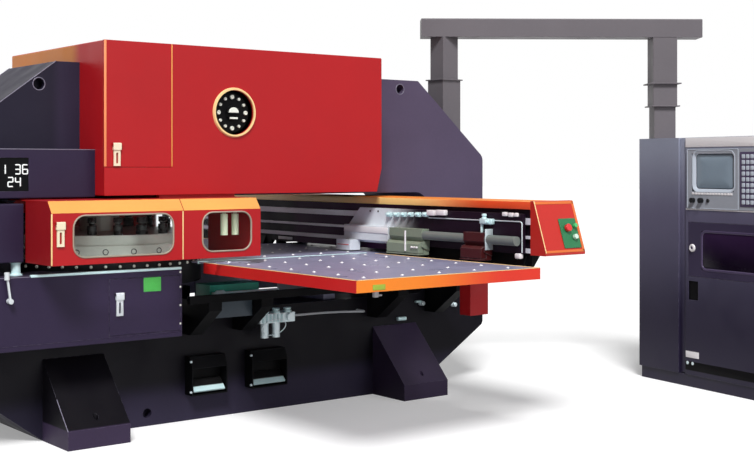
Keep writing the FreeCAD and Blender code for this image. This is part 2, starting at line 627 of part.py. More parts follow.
def beam_supports():
    """What hangs from the beam: saddles on the cross rails, table brackets with an apron, the drive box."""
    saddle = block((800, 1040), (-638, -598), (CROSS_RAIL_Z[1] + 0.5, BEAM_FLOOR))
    web = [(860, CROSS_RAIL_Z[1] + 60), (980, CROSS_RAIL_Z[1] + 60), (980, BEAM_FLOOR - 50),
           (860, BEAM_FLOOR - 50)]
    lightening = prism("y", web, (-640, -590))
    supports = both_sides(saddle.cut(lightening))
    left = WING_RIGHT + WING_EDGE
    apron = block((BEAM_LEFT, BEAM_LEFT + LIP), (-BEAM_HALF, -LIP_HALF),
                  (TABLE_TOP - SKIRT_DEPTH, BEAM_FLOOR))
    arms = []
    for y in (-1800, -1340, -760):
        side = [(left, TABLE_TOP - SKIRT_DEPTH), (BEAM_LEFT + 20, TABLE_TOP - SKIRT_DEPTH),
                (BEAM_LEFT + 110, BEAM_FLOOR), (BEAM_LEFT, BEAM_FLOOR), (BEAM_LEFT - 25, TABLE_TOP - 5),
                (left, TABLE_TOP - 5)]
        arms.append(prism("y", side, (y - 30, y + 30)))
    save("beam_supports", *supports, *both_sides(fuse(apron, *arms)))
    save("drive_box", block((880, 1020), (-1270, -1180), (590, BEAM_FLOOR)))


def cross_rails():
    rail = block(BOX_BEAM_SPAN, CROSS_RAIL_Y, CROSS_RAIL_Z)
    save("cross_rails", *both_sides(rail))
    brackets = []
    for x in BRACKET_X:
        side = [(CROSS_RAIL_Y[0], 700), (CROSS_RAIL_Y[0], 655), (-420, 500), (-FRAME_HALF, 500),
                (-FRAME_HALF, 700)]
        brackets += both_sides(prism("x", side, (x - BRACKET_HALF, x + BRACKET_HALF)))
    save("rail_brackets", *brackets)
    motor = block((-430, -110), (-560, -400), (700, 790))
    motor_foot = block((-398, -142), (-540, -420), (600, 700))
    save("axis_motor", fuse(motor, motor_foot))


# --------------------------------------------------------- sheet-holding carriage
PLATE_X = (745.0, 764.5)
CARRIAGE_Y = (-1835.0, -275.0)
CLAMP_SPANS = ((-1060.0, -760.0), (-1590.0, -1420.0))
CLAMP_TIP = 665.0
CYLINDER_R = 26.0
CYLINDER_SPANS = ((-1420.0, -1060.0), (-1820.0, -1590.0))


def carriage():
    plate = [(CARRIAGE_Y[0], 984), (CARRIAGE_Y[1], 984), (CARRIAGE_Y[1], 1085), (CARRIAGE_Y[1] - 121, 1198),
             (CARRIAGE_Y[0], 1198)]
    front = block((700, PLATE_X[0]), (-732, -290), (1000, 1090))
    end_block = block((640, 720), (-430, -290), (935, 1000))
    save("carriage_plate", fuse(prism("x", plate, PLATE_X), front, end_block))
    bodies = []
    for i, span in enumerate(CLAMP_SPANS):
        lower = [(745, 937), (CLAMP_TIP, 937), (CLAMP_TIP, 944), (706, 946), (706, 1016), (690, 1040),
                 (690, 1088), (745, 1088)]
        core = prism("y", lower, span)
        cheeks = []
        for y in (span[0] - 8, span[1]):
            cheeks.append(prism("y", [(745, 960), (684, 984), (684, 1012), (745, 1024)], (y, y + 8)))
        bodies.append(fuse(core, *cheeks))
        jaw = [(668, 948), (702, 948), (702, 1010), (690, 1014), (668, 1000)]
        save(f"clamp_jaw_{i + 1}", prism("y", jaw, (span[0] + 1, span[1] - 1)))
    save("clamp_bodies", *bodies)
    cylinders = [rod((715, start, 1052), (715, end, 1052), CYLINDER_R) for start, end in CYLINDER_SPANS]
    save("clamp_cylinders", *cylinders)


# ------------------------------------------------------ pedals, air unit and pipe
PEDAL_SPANS = ((-455.0, -224.0), (-54.0, 193.0))
HOOD_FRONT = -405.0
HOOD_FLOOR, HOOD_TOP = 150.0, 370.0
HOOD_WALL = 6.0


def pedals():
    hoods = []
    for name, (left, right) in zip(("pedal_left", "pedal_right"), PEDAL_SPANS):
        side = [(HOOD_FRONT, HOOD_FLOOR), (-FRAME_HALF, HOOD_FLOOR), (-FRAME_HALF, HOOD_TOP),
                (HOOD_FRONT + 30, HOOD_TOP), (HOOD_FRONT, 305)]
        inner = [(HOOD_FRONT - 1, HOOD_FLOOR + HOOD_WALL), (-FRAME_HALF - HOOD_WALL, HOOD_FLOOR + HOOD_WALL),
                 (-FRAME_HALF - HOOD_WALL, HOOD_TOP - HOOD_WALL), (HOOD_FRONT + 28, HOOD_TOP - HOOD_WALL),
                 (HOOD_FRONT - 1, 301)]
        hood = prism("x", side, (left, right))
        hoods.append(hood.cut(prism("x", inner, (left + HOOD_WALL, right - HOOD_WALL))))
        tread = [(-402, 176), (-396, 168), (-340, 226), (-332, 226), (-332, 236), (-344, 236)]
        save(name, prism("x", tread, (left + 14, right - 14)))
    save("pedal_hoods", *hoods)


REGULATOR_Y = -420.0


def air_unit():
    body = block((-26, 220), (REGULATOR_Y - 24, -FRAME_HALF), (530, 586))
    bowls = [faceted_bar((x, REGULATOR_Y, 443), (x, REGULATOR_Y, 530), 24, 12) for x in (20, 100)]
    gauge = faceted_bar((180, REGULATOR_Y - 24, 560), (180, REGULATOR_Y - 42, 560), 24, 20)
    save("air_regulator", fuse(body, *bowls, gauge))


PIPE_ROUTE = ((220.0, REGULATOR_Y, 562.0), (500.0, REGULATOR_Y, 562.0), (780.0, REGULATOR_Y, 546.0),
              (780.0, -FRAME_HALF, 546.0))
PIPE_R = 7.0


def air_pipe():
    """A rigid pipe from the regulator into the frame, straight runs joined by tangent arcs."""
    points = [FreeCAD.Vector(*point) for point in PIPE_ROUTE]
    edges, here = [], points[0]
    for before, corner, after in zip(points, points[1:], points[2:]):
        back, ahead = (before - corner), (after - corner)
        turn = math.pi - back.getAngle(ahead)
        reach = 0.45 * min(back.Length, ahead.Length)
        back.normalize()
        ahead.normalize()
        if turn < 0.01:
            continue
        radius = reach / math.tan(turn / 2)
        middle = (back + ahead).normalize()
        crown = corner + middle * (radius / math.cos(turn / 2) - radius)
        start, end = corner + back * reach, corner + ahead * reach
        edges.append(Part.LineSegment(here, start).toShape())
        edges.append(Part.Arc(start, crown, end).toShape())
        here = end
    edges.append(Part.LineSegment(here, points[-1]).toShape())
    path = Part.Wire(edges)
    section = faceted_ring(points[0], points[1] - points[0], PIPE_R, 8)
    save("air_pipe", path.makePipeShell([section], True, True))


# ------------------------------------------------- start and stop buttons (beam)
CAP_SLOPE = math.atan2(CAP_FACE_TOP - CAP_FACE_FLOOR, CAP_TOP - CAP_FLOOR - 14)
PANEL_CENTRE_X = 980.0
PANEL_SIZE = (128.0, 165.0)
PANEL_DROP = 40.0             # how far the panel's middle lies below the middle of the slanted face
PANEL_THICK = 5.0
BUTTONS = {"stop_button": (-17.0, 27.0, 21.0), "start_button": (40.0, 38.0, 12.0),
           "hold_button": (24.0, -24.0, 14.0)}
BUTTON_HEIGHT = 16.0
BUTTON_LIFT = 5.0


def on_cap(shape):
    """Lay a shape drawn flat on the slanted face of the front end cap."""
    shape = shape.copy()
    tilt = 90.0 - math.degrees(CAP_SLOPE)
    middle_y = (CAP_FACE_TOP + CAP_FACE_FLOOR) / 2
    middle_z = (CAP_TOP + CAP_FLOOR + 14) / 2
    shape.rotate(FreeCAD.Vector(0, 0, 0), FreeCAD.Vector(1, 0, 0), tilt)
    shape.translate(FreeCAD.Vector(PANEL_CENTRE_X, middle_y, middle_z))
    return shape


def button_panel():
    half_x, half_y = PANEL_SIZE[0] / 2, PANEL_SIZE[1] / 2
    floor, top = -half_y - PANEL_DROP, half_y - PANEL_DROP
    corners = [(-half_x, floor), (half_x, floor), (half_x, top), (-half_x, top)]
    save("button_panel", on_cap(prism("z", corners, (0, PANEL_THICK), [6] * 4)))
    for name, (x, y, radius) in BUTTONS.items():
        foot = PANEL_THICK + BUTTON_LIFT
        crown = foot + BUTTON_HEIGHT
        y -= PANEL_DROP
        save(name, on_cap(faceted_bar((x, y, foot), (x, y, crown), radius, 20)))


# ------------------------------------------------------------------ cable duct
POST = 133.0
SLEEVE = 157.0
FLANGE = 180.0
RIGHT_SLEEVE = 164.0
DUCT_FLOOR = DUCT_TOP - DUCT_HEIGHT
DUCT_ANGLE = math.degrees(math.atan2(RIGHT_POST[1] - LEFT_POST[1], RIGHT_POST[0] - LEFT_POST[0]))
DUCT_SPAN = math.dist(LEFT_POST, RIGHT_POST)
DUCT_OVERHANG = (160.0, 255.0)


def turned_about(shape, centre, angle):
    """Turn a shape about the vertical through centre."""
    shape = shape.copy()
    shape.rotate(FreeCAD.Vector(centre[0], centre[1], 0), FreeCAD.Vector(0, 0, 1), angle)
    return shape


def square_post(centre, size, z):
    half = size / 2
    return block((centre[0] - half, centre[0] + half), (centre[1] - half, centre[1] + half), z)


def cable_duct():
    """Two welded posts, one on the frame's slope and one on the console, and the duct between them."""
    slope = (FRAME_TOP - 1520.0) / (FRAME_RIGHT - 1282.0)
    half = SLEEVE / 2
    x0, x1 = LEFT_POST[0] - half, LEFT_POST[0] + half
    side = [(x0, 1520.0 + (FRAME_RIGHT - x0) * slope), (x1, 1520.0 + (FRAME_RIGHT - x1) * slope),
            (x1, 2040), (x0, 2040)]
    sleeve = prism("y", side, (LEFT_POST[1] - half, LEFT_POST[1] + half))
    flange = square_post(LEFT_POST, FLANGE, (2040, 2048))
    post = square_post(LEFT_POST, POST, (2048, DUCT_FLOOR))
    save("left_duct_post", fuse(sleeve, flange, post))
    stages = ((146, CONSOLE_HEIGHT), (196, 1862), (RIGHT_SLEEVE, 1870), (212, 2016), (RIGHT_SLEEVE, 2024))
    tops = [floor for _, floor in stages[1:]] + [DUCT_FLOOR]
    pieces = [square_post(RIGHT_POST, size, (floor, top)) for (size, floor), top in zip(stages, tops)]
    save("right_duct_post", turned_about(fuse(*pieces), RIGHT_POST, DUCT_ANGLE))
    x = (LEFT_POST[0] - DUCT_OVERHANG[0], LEFT_POST[0] + DUCT_SPAN + DUCT_OVERHANG[1])
    trough = prism("x", [(LEFT_POST[1] - 84, DUCT_FLOOR), (LEFT_POST[1] + 84, DUCT_FLOOR),
                         (LEFT_POST[1] + 84, DUCT_TOP), (LEFT_POST[1] - 84, DUCT_TOP)], x, [0, 0, 8, 8])
    save("overhead_duct", turned_about(trough, LEFT_POST, DUCT_ANGLE))


# ---------------------------------------------------------------------- console
COLUMN_WIDTH = 385.0
COLUMN_GAP = 60.0
PLINTH = 80.0
MONITOR = ((465.0, 920.0), (1178.0, 1567.0))
SCREEN = ((505.0, 880.0), (1290.0, 1538.0))
KEYPAD_RIGHT = 1260.0
CONSOLE_DOOR = ((470.0, 1262.0), (731.0, 1087.0))
CONSOLE_WINDOW = ((590.0, 1140.0), (780.0, 1032.0))
HANDLE = ((470.0, 560.0), (575.0, 700.0))


def at_console(shape):
    """Place a shape drawn in the console's own axes: x is depth, -y runs along its front."""
    shape = shape.copy()
    shape.rotate(FreeCAD.Vector(0, 0, 0), FreeCAD.Vector(0, 0, 1), CONSOLE_TURN)
    shape.translate(FreeCAD.Vector(CONSOLE_CORNER[0], CONSOLE_CORNER[1], 0))
    return shape


def console_box(along, depth, z):
    """A box in the console's axes: along its front from the far end, then depth, then height."""
    return block(depth, (-along[1], -along[0]), z)


def console():
    column = console_box((0, COLUMN_WIDTH), (0, CONSOLE_DEPTH), (PLINTH, CONSOLE_HEIGHT))
    plinth = console_box((10, CONSOLE_WIDTH - 10), (14, CONSOLE_DEPTH - 10), (0, PLINTH))
    cabinet = console_box((COLUMN_WIDTH, CONSOLE_WIDTH), (6, CONSOLE_DEPTH), (PLINTH, CONSOLE_HEIGHT))
    rebate = console_box((COLUMN_WIDTH, COLUMN_WIDTH + COLUMN_GAP), (0, 26), (PLINTH, CONSOLE_HEIGHT + 1))
    monitor_bay = console_box(MONITOR[0], (0, 60), MONITOR[1])
    door_bay = console_box((CONSOLE_DOOR[0][0] - SEAM_GAP, CONSOLE_DOOR[0][1] + SEAM_GAP), (0, 80),
                           (CONSOLE_DOOR[1][0] - SEAM_GAP, CONSOLE_DOOR[1][1] + SEAM_GAP))
    chamber = console_box((CONSOLE_DOOR[0][0] + 16, CONSOLE_DOOR[0][1] - 16), (79, 420),
                          (CONSOLE_DOOR[1][0] + 16, CONSOLE_DOOR[1][1] - 16))
    grip = console_box(HANDLE[0], (0, 45), HANDLE[1])
    shell = cut(cabinet, rebate, monitor_bay, door_bay, chamber, grip)
    save("console_cabinet", at_console(fuse(shell, column, plinth)))

    fascia = fuse(console_box(MONITOR[0], (0, 60), MONITOR[1]),
                  console_box((MONITOR[0][1], KEYPAD_RIGHT), (0, 6), MONITOR[1]))
    glass_bay = console_box(SCREEN[0], (-1, 24), SCREEN[1])
    save("console_fascia", at_console(fascia.cut(glass_bay)))
    for name, along in (("knob_left", 525.0), ("knob_right", 600.0)):
        save(name, at_console(faceted_bar((-1, -along, 1232), (-25, -along, 1232), 17, 20)))

    leaf = console_box(CONSOLE_DOOR[0], (6, 28), CONSOLE_DOOR[1])
    recess = console_box(CONSOLE_WINDOW[0], (5, 18), CONSOLE_WINDOW[1])
    save("console_door", at_console(leaf.cut(recess)))


# ------------------------------------------------------------------------ build
bridge_frame()
foot_toes()
head_cover()
head_door()
dial_trim()
clutch()
readout()
side_housing()
service_cabinet()
cabinet_door()
side_lever()
turret_guard()
air_cylinders()
latches()
turrets()
ram()
centre_table()
wing_tables()
beam()
beam_supports()
cross_rails()
carriage()
pedals()
air_unit()
air_pipe()
button_panel()
cable_duct()
console()
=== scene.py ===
import logging
import math
from dataclasses import dataclass
from enum import Enum

import bmesh
import bpy
import numpy as np
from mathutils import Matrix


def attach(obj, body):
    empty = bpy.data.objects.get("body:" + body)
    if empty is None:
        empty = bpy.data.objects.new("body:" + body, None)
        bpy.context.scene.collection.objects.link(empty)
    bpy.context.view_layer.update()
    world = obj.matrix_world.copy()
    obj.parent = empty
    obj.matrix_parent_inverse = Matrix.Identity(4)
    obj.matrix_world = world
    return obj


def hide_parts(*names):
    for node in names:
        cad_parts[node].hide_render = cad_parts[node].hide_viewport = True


# Looks of the turret punch press, in metres, in the same frame as its CAD.
# +X runs to the right along the front, +Y goes to the back and +Z is up.

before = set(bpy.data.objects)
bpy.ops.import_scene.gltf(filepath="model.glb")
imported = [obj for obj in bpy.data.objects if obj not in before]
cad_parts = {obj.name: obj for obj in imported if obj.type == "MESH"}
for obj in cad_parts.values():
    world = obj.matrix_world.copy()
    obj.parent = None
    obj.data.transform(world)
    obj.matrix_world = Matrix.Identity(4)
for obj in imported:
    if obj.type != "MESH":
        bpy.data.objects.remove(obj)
log = logging.getLogger("punch_press")

Pair = tuple[float, float]
Point = tuple[float, float, float]
Colour = tuple[float, float, float]
Rgb = tuple[int, int, int]
Profile = list[Pair]
Block = tuple[Point, Point, float]

ORIGIN: Point = (0.0, 0.0, 0.0)
TURRET_AXIS: Point = (-0.830, 0.0, 0.0)


class Facing(Enum):
    """Where a flat detail's own x, y and z go when it is laid on a side of the machine."""

    FRONT = ((1, 0, 0), (0, 0, 1), (0, -1, 0))
    LEFT = ((0, -1, 0), (0, 0, 1), (-1, 0, 0))
    RIGHT = ((0, 1, 0), (0, 0, 1), (1, 0, 0))


# ------------------------------------------------------------------- surfaces
@dataclass
class Surface:
    """A mesh in the making: points in metres, and faces as rows of point numbers."""

    points: np.ndarray
    faces: list[np.ndarray]

    def moved(self, offset: Point) -> "Surface":
        """The same surface shifted by offset."""
        return Surface(self.points + np.array(offset), self.faces)

    def placed(self, axes: np.ndarray, at: Point) -> "Surface":
        """Lay the surface on other axes.

        Args:
            axes: rows that say where the surface's own x, y and z go.
            at: where its own origin goes.

        Returns:
            The surface in its place: point = x*axes[0] + y*axes[1] + z*axes[2] + at.
        """
        return Surface(self.points @ np.array(axes, float) + np.array(at), self.faces)

    def laid(self, side: Facing, at: Point = ORIGIN) -> "Surface":
        """The surface on one side of the machine, with its own origin at that point."""
        return self.placed(side.value, at)

    def both_sides(self) -> "Surface":
        """The surface and its image in the press's middle plane, y = 0."""
        return joined(self, Surface(self.points * np.array([1.0, -1.0, 1.0]), self.faces))

    def copies(self, points: np.ndarray) -> "Surface":
        """The surface once for each block of points, which has the shape (copies, points, 3)."""
        steps = np.arange(len(points)) * len(self.points)
        faces = [(f[None] + steps[:, None, None]).reshape(-1, f.shape[1]) for f in self.faces]
        return Surface(points.reshape(-1, 3), faces)

    def repeated(self, offsets: np.ndarray | list[Point]) -> "Surface":
        """One copy of the surface for each row of offsets."""
        return self.copies(self.points[None] + np.atleast_2d(offsets)[:, None])

    def turned_copies(self, angles: np.ndarray, centre: Point) -> "Surface":
        """Copies turned about the vertical through centre, one for each angle in radians."""
        c, s, zero = np.cos(angles), np.sin(angles), np.zeros(len(angles))
        turn = np.stack([np.stack([c, s, zero], -1), np.stack([-s, c, zero], -1),
                         np.stack([zero, zero, zero + 1], -1)], 1)
        return self.copies(np.einsum("pi,nij->npj", self.points - np.array(centre), turn) + np.array(centre))


def joined(*surfaces: Surface) -> Surface:
    """All the surfaces as one, each with its own points."""
    starts = np.cumsum([0] + [len(s.points) for s in surfaces[:-1]])
    faces = [f + start for s, start in zip(surfaces, starts) for f in s.faces]
    return Surface(np.vstack([s.points for s in surfaces]), faces)


def grid(points: np.ndarray, close_u: bool = False, close_v: bool = False, caps: bool = False) -> Surface:
    """Quads between the neighbours of a grid of points.

    Args:
        points: an array of shape (u, v, 3).
        close_u: whether the last row joins the first.
        close_v: whether the last column joins the first.
        caps: whether the first and last rows are filled with one face each.

    Returns:
        The surface over the grid.
    """
    rows, columns = points.shape[:2]
    number = np.arange(rows * columns).reshape(rows, columns)
    faces = [number[:1, ::-1], number[-1:, :]] if caps else []
    if close_u:
        number = np.vstack([number, number[:1]])
    if close_v:
        number = np.hstack([number, number[:, :1]])
    quads = np.stack([number[:-1, :-1], number[:-1, 1:], number[1:, 1:], number[1:, :-1]], -1)
    return Surface(points.reshape(-1, 3), [quads.reshape(-1, 4)] + faces)


def quarter_turns(steps: int) -> tuple[np.ndarray, np.ndarray, np.ndarray]:
    """Angles once round, each quarter with both its ends, and the signs of x and y in it."""
    quarter = np.linspace(0, math.pi / 2, steps)
    u = np.concatenate([quarter + k * math.pi / 2 for k in range(4)])
    return u, np.repeat([1, -1, -1, 1], steps), np.repeat([1, 1, -1, -1], steps)


def block(low: Point, high: Point, radius: float, steps: int = 3) -> Surface:
    """A block whose edges and corners are rounded.

    Formula: a direction runs over the sphere by longitude u and latitude v. Each point is
    the block's middle, plus the signs of the direction times (half size - radius), plus
    radius times the direction, so every eighth of the sphere sits in its own corner.

    Args:
        low: lowest corner.
        high: highest corner.
        radius: radius of the edges.
        steps: points along a quarter turn.

    Returns:
        The closed surface.
    """
    low, high = np.array(low, float), np.array(high, float)
    half, middle = (high - low) / 2, (high + low) / 2
    radius = min(radius, half.min() * 0.98)
    u, sign_x, sign_y = quarter_turns(steps)
    v = np.concatenate([u[:steps] - math.pi / 2, u[:steps]])
    sign_z = np.repeat([-1, 1], steps)
    direction = np.stack([np.outer(np.cos(v), np.cos(u)), np.outer(np.cos(v), np.sin(u)),
                          np.outer(np.sin(v), np.ones_like(u))], -1)
    signs = np.stack([np.outer(np.ones_like(v), sign_x), np.outer(np.ones_like(v), sign_y),
                      np.outer(sign_z, np.ones_like(u))], -1)
    return grid(middle + signs * (half - radius) + radius * direction, close_v=True, caps=True)


def blocks(rows: tuple[Block, ...], offset: Point = ORIGIN) -> Surface:
    """Rounded blocks as one surface; a row is (lowest corner, highest corner, edge radius)."""
    return joined(*[block(*row) for row in rows]).moved(offset)


def lathe(profile: Profile, sides: int = 24) -> Surface:
    """A turned part: the profile of (radius, height) pairs carried round the z axis.

    Formula: point(u, v) = (r(v) cos u, r(v) sin u, h(v)); a radius of 0 closes the end.
    """
    r, h = np.array(profile, float).T
    u = np.arange(sides) * 2 * math.pi / sides
    points = np.stack([np.outer(r, np.cos(u)), np.outer(r, np.sin(u)), np.outer(h, np.ones(sides))], -1)
    return grid(points, close_v=True)


VALVE_NUT: Profile = [(0, 0), (1, 0), (1, 0.3), (0.7, 0.36), (0.7, 0.5), (0.95, 0.56), (0.95, 0.9), (0.7, 1),
                      (0, 1)]
COUPLING: Profile = [(0, 0), (1, 0), (1, 0.4), (0.75, 0.46), (0.75, 0.6), (0.9, 0.66), (0.9, 0.92), (0.7, 1),
                     (0, 1)]


def union(shape: Profile, radius: float, height: float) -> Surface:
    """A pipe union: collar, waist and rounded nut, by a profile whose radius and height are 1."""
    return lathe([(radius * r, height * h) for r, h in shape], 14)


def lifted(flat: np.ndarray, heights: np.ndarray) -> np.ndarray:
    """Points of shape (u, v, 3) from flat ones of shape (u, v, 2) and their heights."""
    return np.concatenate([flat, np.broadcast_to(heights, flat.shape[:2])[..., None]], -1)


def rounded_loop(width: float, height: float, corner: float) -> tuple[np.ndarray, np.ndarray]:
    """A rectangle with round corners about the origin, and its outward directions.

    Formula: angle u runs round; each point is the corner's centre plus corner times (cos u, sin u).
    """
    u, sign_x, sign_y = quarter_turns(7)
    out = np.stack([np.cos(u), np.sin(u)], -1)
    centres = np.stack([sign_x, sign_y], -1) * (np.array([width, height]) / 2 - corner)
    return centres + corner * out, out


def rim(width: float, height: float, corner: float, section: Profile) -> Surface:
    """A frame round an opening: a closed section carried round a rounded rectangle.

    Formula: point(u, v) = loop(u) + a(v) * outward(u), at height b(v), for the section's (a, b).
    """
    loop, out = rounded_loop(width, height, corner)
    a, b = np.array(section, float).T
    return grid(lifted(loop[:, None] + out[:, None] * a[None, :, None], b), close_u=True, close_v=True)


def slab(width: float, height: float, corner: float, thick: float, edge: float) -> Surface:
    """A flat plate with round corners and a rounded upper edge, from z = 0 up to thick.

    Formula: the loop of the outline at each height of a quarter circle, drawn in by
    edge * (1 - cos v), with a face across each end.
    """
    loop, out = rounded_loop(width, height, corner)
    v = np.linspace(0, math.pi / 2, 4)
    inset = np.concatenate([[0.0], edge * (1 - np.cos(v))])
    level = np.concatenate([[0.0], thick - edge + edge * np.sin(v)])
    return grid(lifted(loop[None] - out[None] * inset[:, None, None], level[:, None]), close_v=True, caps=True)


def tube(path: np.ndarray | list[Point], radius: float, sides: int = 10) -> Surface:
    """A round bar along a path.

    Formula: at each point of the path, a circle of the radius in the plane square to the
    direction there; the circle's first axis is the direction crossed with a fixed vector.
    """
    path = np.array(path, float)
    along = np.gradient(path, axis=0)
    along /= np.linalg.norm(along, axis=1, keepdims=True)
    first = np.cross(along, np.eye(3)[int(np.argmin(np.abs(along).max(0)))])
    first /= np.linalg.norm(first, axis=1, keepdims=True)
    second = np.cross(along, first)
    u = np.arange(sides) * 2 * math.pi / sides
    ring = first[:, None] * np.cos(u)[None, :, None] + second[:, None] * np.sin(u)[None, :, None]
    return grid(path[:, None] + radius * ring, close_v=True, caps=True)


def spots_over(x: np.ndarray, y: np.ndarray, z: float = 0.0) -> np.ndarray:
    """A field of places: every x with every y, all at height z."""
    grid_x, grid_y = np.meshgrid(x, y)
    return np.stack([grid_x.ravel(), grid_y.ravel(), np.full(grid_x.size, z)], -1)


# -------------------------------------------------------------------- finishes
def linear(red: int, green: int, blue: int) -> Colour:
    """A colour as the eye reads it, 0 to 255, as the shader's linear values."""
    value = np.array([red, green, blue]) / 255
    out = np.where(value <= 0.04045, value / 12.92, ((value + 0.055) / 1.055) ** 2.4)
    return tuple(float(v) for v in out)


class Wiring:
    """Adds nodes to one shader tree and joins them."""

    def __init__(self, tree: bpy.types.NodeTree) -> None:
        """Keep the tree."""
        self.tree = tree

    def put(self, socket: bpy.types.NodeSocket, value: object) -> None:
        """Feed an input: by a link where the value is a socket, and as it stands otherwise."""
        if isinstance(value, bpy.types.NodeSocket):
            self.tree.links.new(value, socket)
        else:
            socket.default_value = value

    def node(self, kind: str, inputs: dict[str | int, object], **options: object) -> bpy.types.Node:
        """Add a node.

        Args:
            kind: the node's type, without its "ShaderNode".
            inputs: what each input gets, by name or number.
            options: the node's own settings.

        Returns:
            The node.
        """
        node = self.tree.nodes.new("ShaderNode" + kind)
        for name, value in options.items():
            setattr(node, name, value)
        for label, value in inputs.items():
            self.put(node.inputs[label], value)
        return node

    def calc(self, operation: str, a: object, b: object) -> bpy.types.NodeSocket:
        """One step of arithmetic on two numbers or sockets."""
        return self.node("Math", {0: a, 1: b}, operation=operation).outputs["Value"]

    def spread(self, value: object, low: object, high: object, out_low: object = 0.0,
               out_high: object = 1.0, shape: str = "LINEAR") -> bpy.types.NodeSocket:
        """Map a value from low..high to out_low..out_high; each end is a number or a socket."""
        return self.node("MapRange", {"Value": value, "From Min": low, "From Max": high, "To Min": out_low,
                                      "To Max": out_high}, interpolation_type=shape).outputs["Result"]

    def noise(self, scale: object, detail: float, stretch: Point = (1, 1, 1)) -> bpy.types.NodeSocket:
        """A noise on Object coordinates, stretched by a Mapping node."""
        where = self.node("TexCoord", {}).outputs["Object"]
        place = self.node("Mapping", {"Vector": where, "Scale": stretch}).outputs["Vector"]
        return self.node("TexNoise", {"Vector": place, "Scale": scale, "Detail": detail}).outputs["Fac"]

    def mixed(self, mask: bpy.types.NodeSocket, a: object, b: Colour) -> bpy.types.NodeSocket:
        """Lay the colour b over the colour a by a mask."""
        return self.node("Mix", {0: mask, 6: a, 7: (*b, 1)}, data_type="RGBA").outputs[2]


class EffectGroups:
    """Shader node groups shared by the finishes, each made once."""

    def __init__(self) -> None:
        """Make every group."""
        self.tone = self.make_tone()
        self.wear = self.make_wear()
        self.dust = self.make_dust()
        self.film = self.make_film()
        self.streak = self.make_streak()

    @staticmethod
    def start(name: str, inputs: dict[str, object], outputs: dict[str, str]) -> tuple:
        """A new group with its sockets.

        Args:
            name: the group's name.
            inputs: each input's name and default, a colour or a number.
            outputs: each output's name and type, without its "NodeSocket".

        Returns:
            The group's wiring, what it is given and what it puts out.
        """
        tree = bpy.data.node_groups.new(name, "ShaderNodeTree")
        for label, default in inputs.items():
            kind = "NodeSocketColor" if isinstance(default, tuple) else "NodeSocketFloat"
            tree.interface.new_socket(label, in_out="INPUT", socket_type=kind).default_value = default
        for label, kind in outputs.items():
            tree.interface.new_socket(label, in_out="OUTPUT", socket_type="NodeSocket" + kind)
        return Wiring(tree), tree.nodes.new("NodeGroupInput").outputs, tree.nodes.new("NodeGroupOutput").inputs

    def make_tone(self) -> bpy.types.NodeTree:
        """Slow and fine changes of tone over a coat of paint or a casting."""
        wire, given, out = self.start("tone_drift", {"Colour": (0.5, 0.5, 0.5, 1), "Amount": 0.1, "Scale": 3.0},
                                      {"Colour": "Color"})
        broad = wire.calc("MULTIPLY", wire.noise(given["Scale"], 3.0), 0.75)
        fine = wire.noise(wire.calc("MULTIPLY", given["Scale"], 24.0), 2.0)
        total = wire.calc("ADD", broad, wire.calc("MULTIPLY", fine, 0.25))
        value = wire.spread(total, 0.3, 0.7, wire.calc("SUBTRACT", 1.0, given["Amount"]),
                            wire.calc("ADD", 1.0, given["Amount"]))
        shade = wire.node("HueSaturation", {"Color": given["Colour"], "Value": value})
        wire.put(out["Colour"], shade.outputs["Color"])
        return wire.tree

    def make_wear(self) -> bpy.types.NodeTree:
        """Rounded edges, and where the coat is rubbed thin along them."""
        wire, given, out = self.start("edge_wear", {"Radius": 0.003, "Amount": 0.5, "Scale": 40.0},
                                      {"Mask": "Float", "Normal": "Vector"})
        rounded = wire.node("Bevel", {"Radius": given["Radius"]}, samples=6).outputs["Normal"]
        flat = wire.node("NewGeometry", {}).outputs["Normal"]
        turn = wire.node("VectorMath", {0: rounded, 1: flat}, operation="DOT_PRODUCT").outputs["Value"]
        edge = wire.spread(turn, 0.985, 0.86)
        broken = wire.spread(wire.noise(given["Scale"], 4.0), 0.42, 0.62)
        wire.put(out["Mask"], wire.calc("MULTIPLY", wire.calc("MULTIPLY", edge, broken), given["Amount"]))
        wire.put(out["Normal"], rounded)
        return wire.tree

    def make_dust(self) -> bpy.types.NodeTree:
        """Dust that settles on what faces up, in soft patches."""
        wire, given, out = self.start("settled_dust", {"Amount": 0.3, "Scale": 5.0}, {"Mask": "Float"})
        normal = wire.node("NewGeometry", {}).outputs["Normal"]
        up = wire.spread(wire.node("SeparateXYZ", {"Vector": normal}).outputs["Z"], 0.55, 1.0)
        soft = wire.spread(wire.noise(given["Scale"], 5.0), 0.35, 0.75)
        wire.put(out["Mask"], wire.calc("MULTIPLY", wire.calc("MULTIPLY", up, soft), given["Amount"]))
        return wire.tree

    def make_film(self) -> bpy.types.NodeTree:
        """The fine ripple of sprayed enamel or cast metal, and how its gloss varies."""
        wire, given, out = self.start("coat_film", {"Roughness": 0.4, "Spread": 0.08, "Scale": 180.0},
                                      {"Roughness": "Float", "Height": "Float"})
        slow = wire.noise(wire.calc("DIVIDE", given["Scale"], 30.0), 4.0)
        wire.put(out["Roughness"], wire.spread(slow, 0.3, 0.7, *[
            wire.calc(step, given["Roughness"], given["Spread"]) for step in ("SUBTRACT", "ADD")]))
        wire.put(out["Height"], wire.noise(given["Scale"], 2.0))
        return wire.tree

    def make_streak(self) -> bpy.types.NodeTree:
        """Fine parallel lines of a ground or brushed face, drawn out along X and Y."""
        wire, given, out = self.start("brushed_lines", {"Scale": 60.0}, {"Height": "Float"})
        wire.put(out["Height"], wire.noise(given["Scale"], 3.0, (0.4, 0.4, 14.0)))
        return wire.tree


@dataclass(frozen=True)
class Blend:
    """A second colour, laid where all its ramps have risen; a ramp is (axis, place of 0, place of 1)."""

    colour: Colour
    ramps: tuple[tuple[int, float, float], ...]


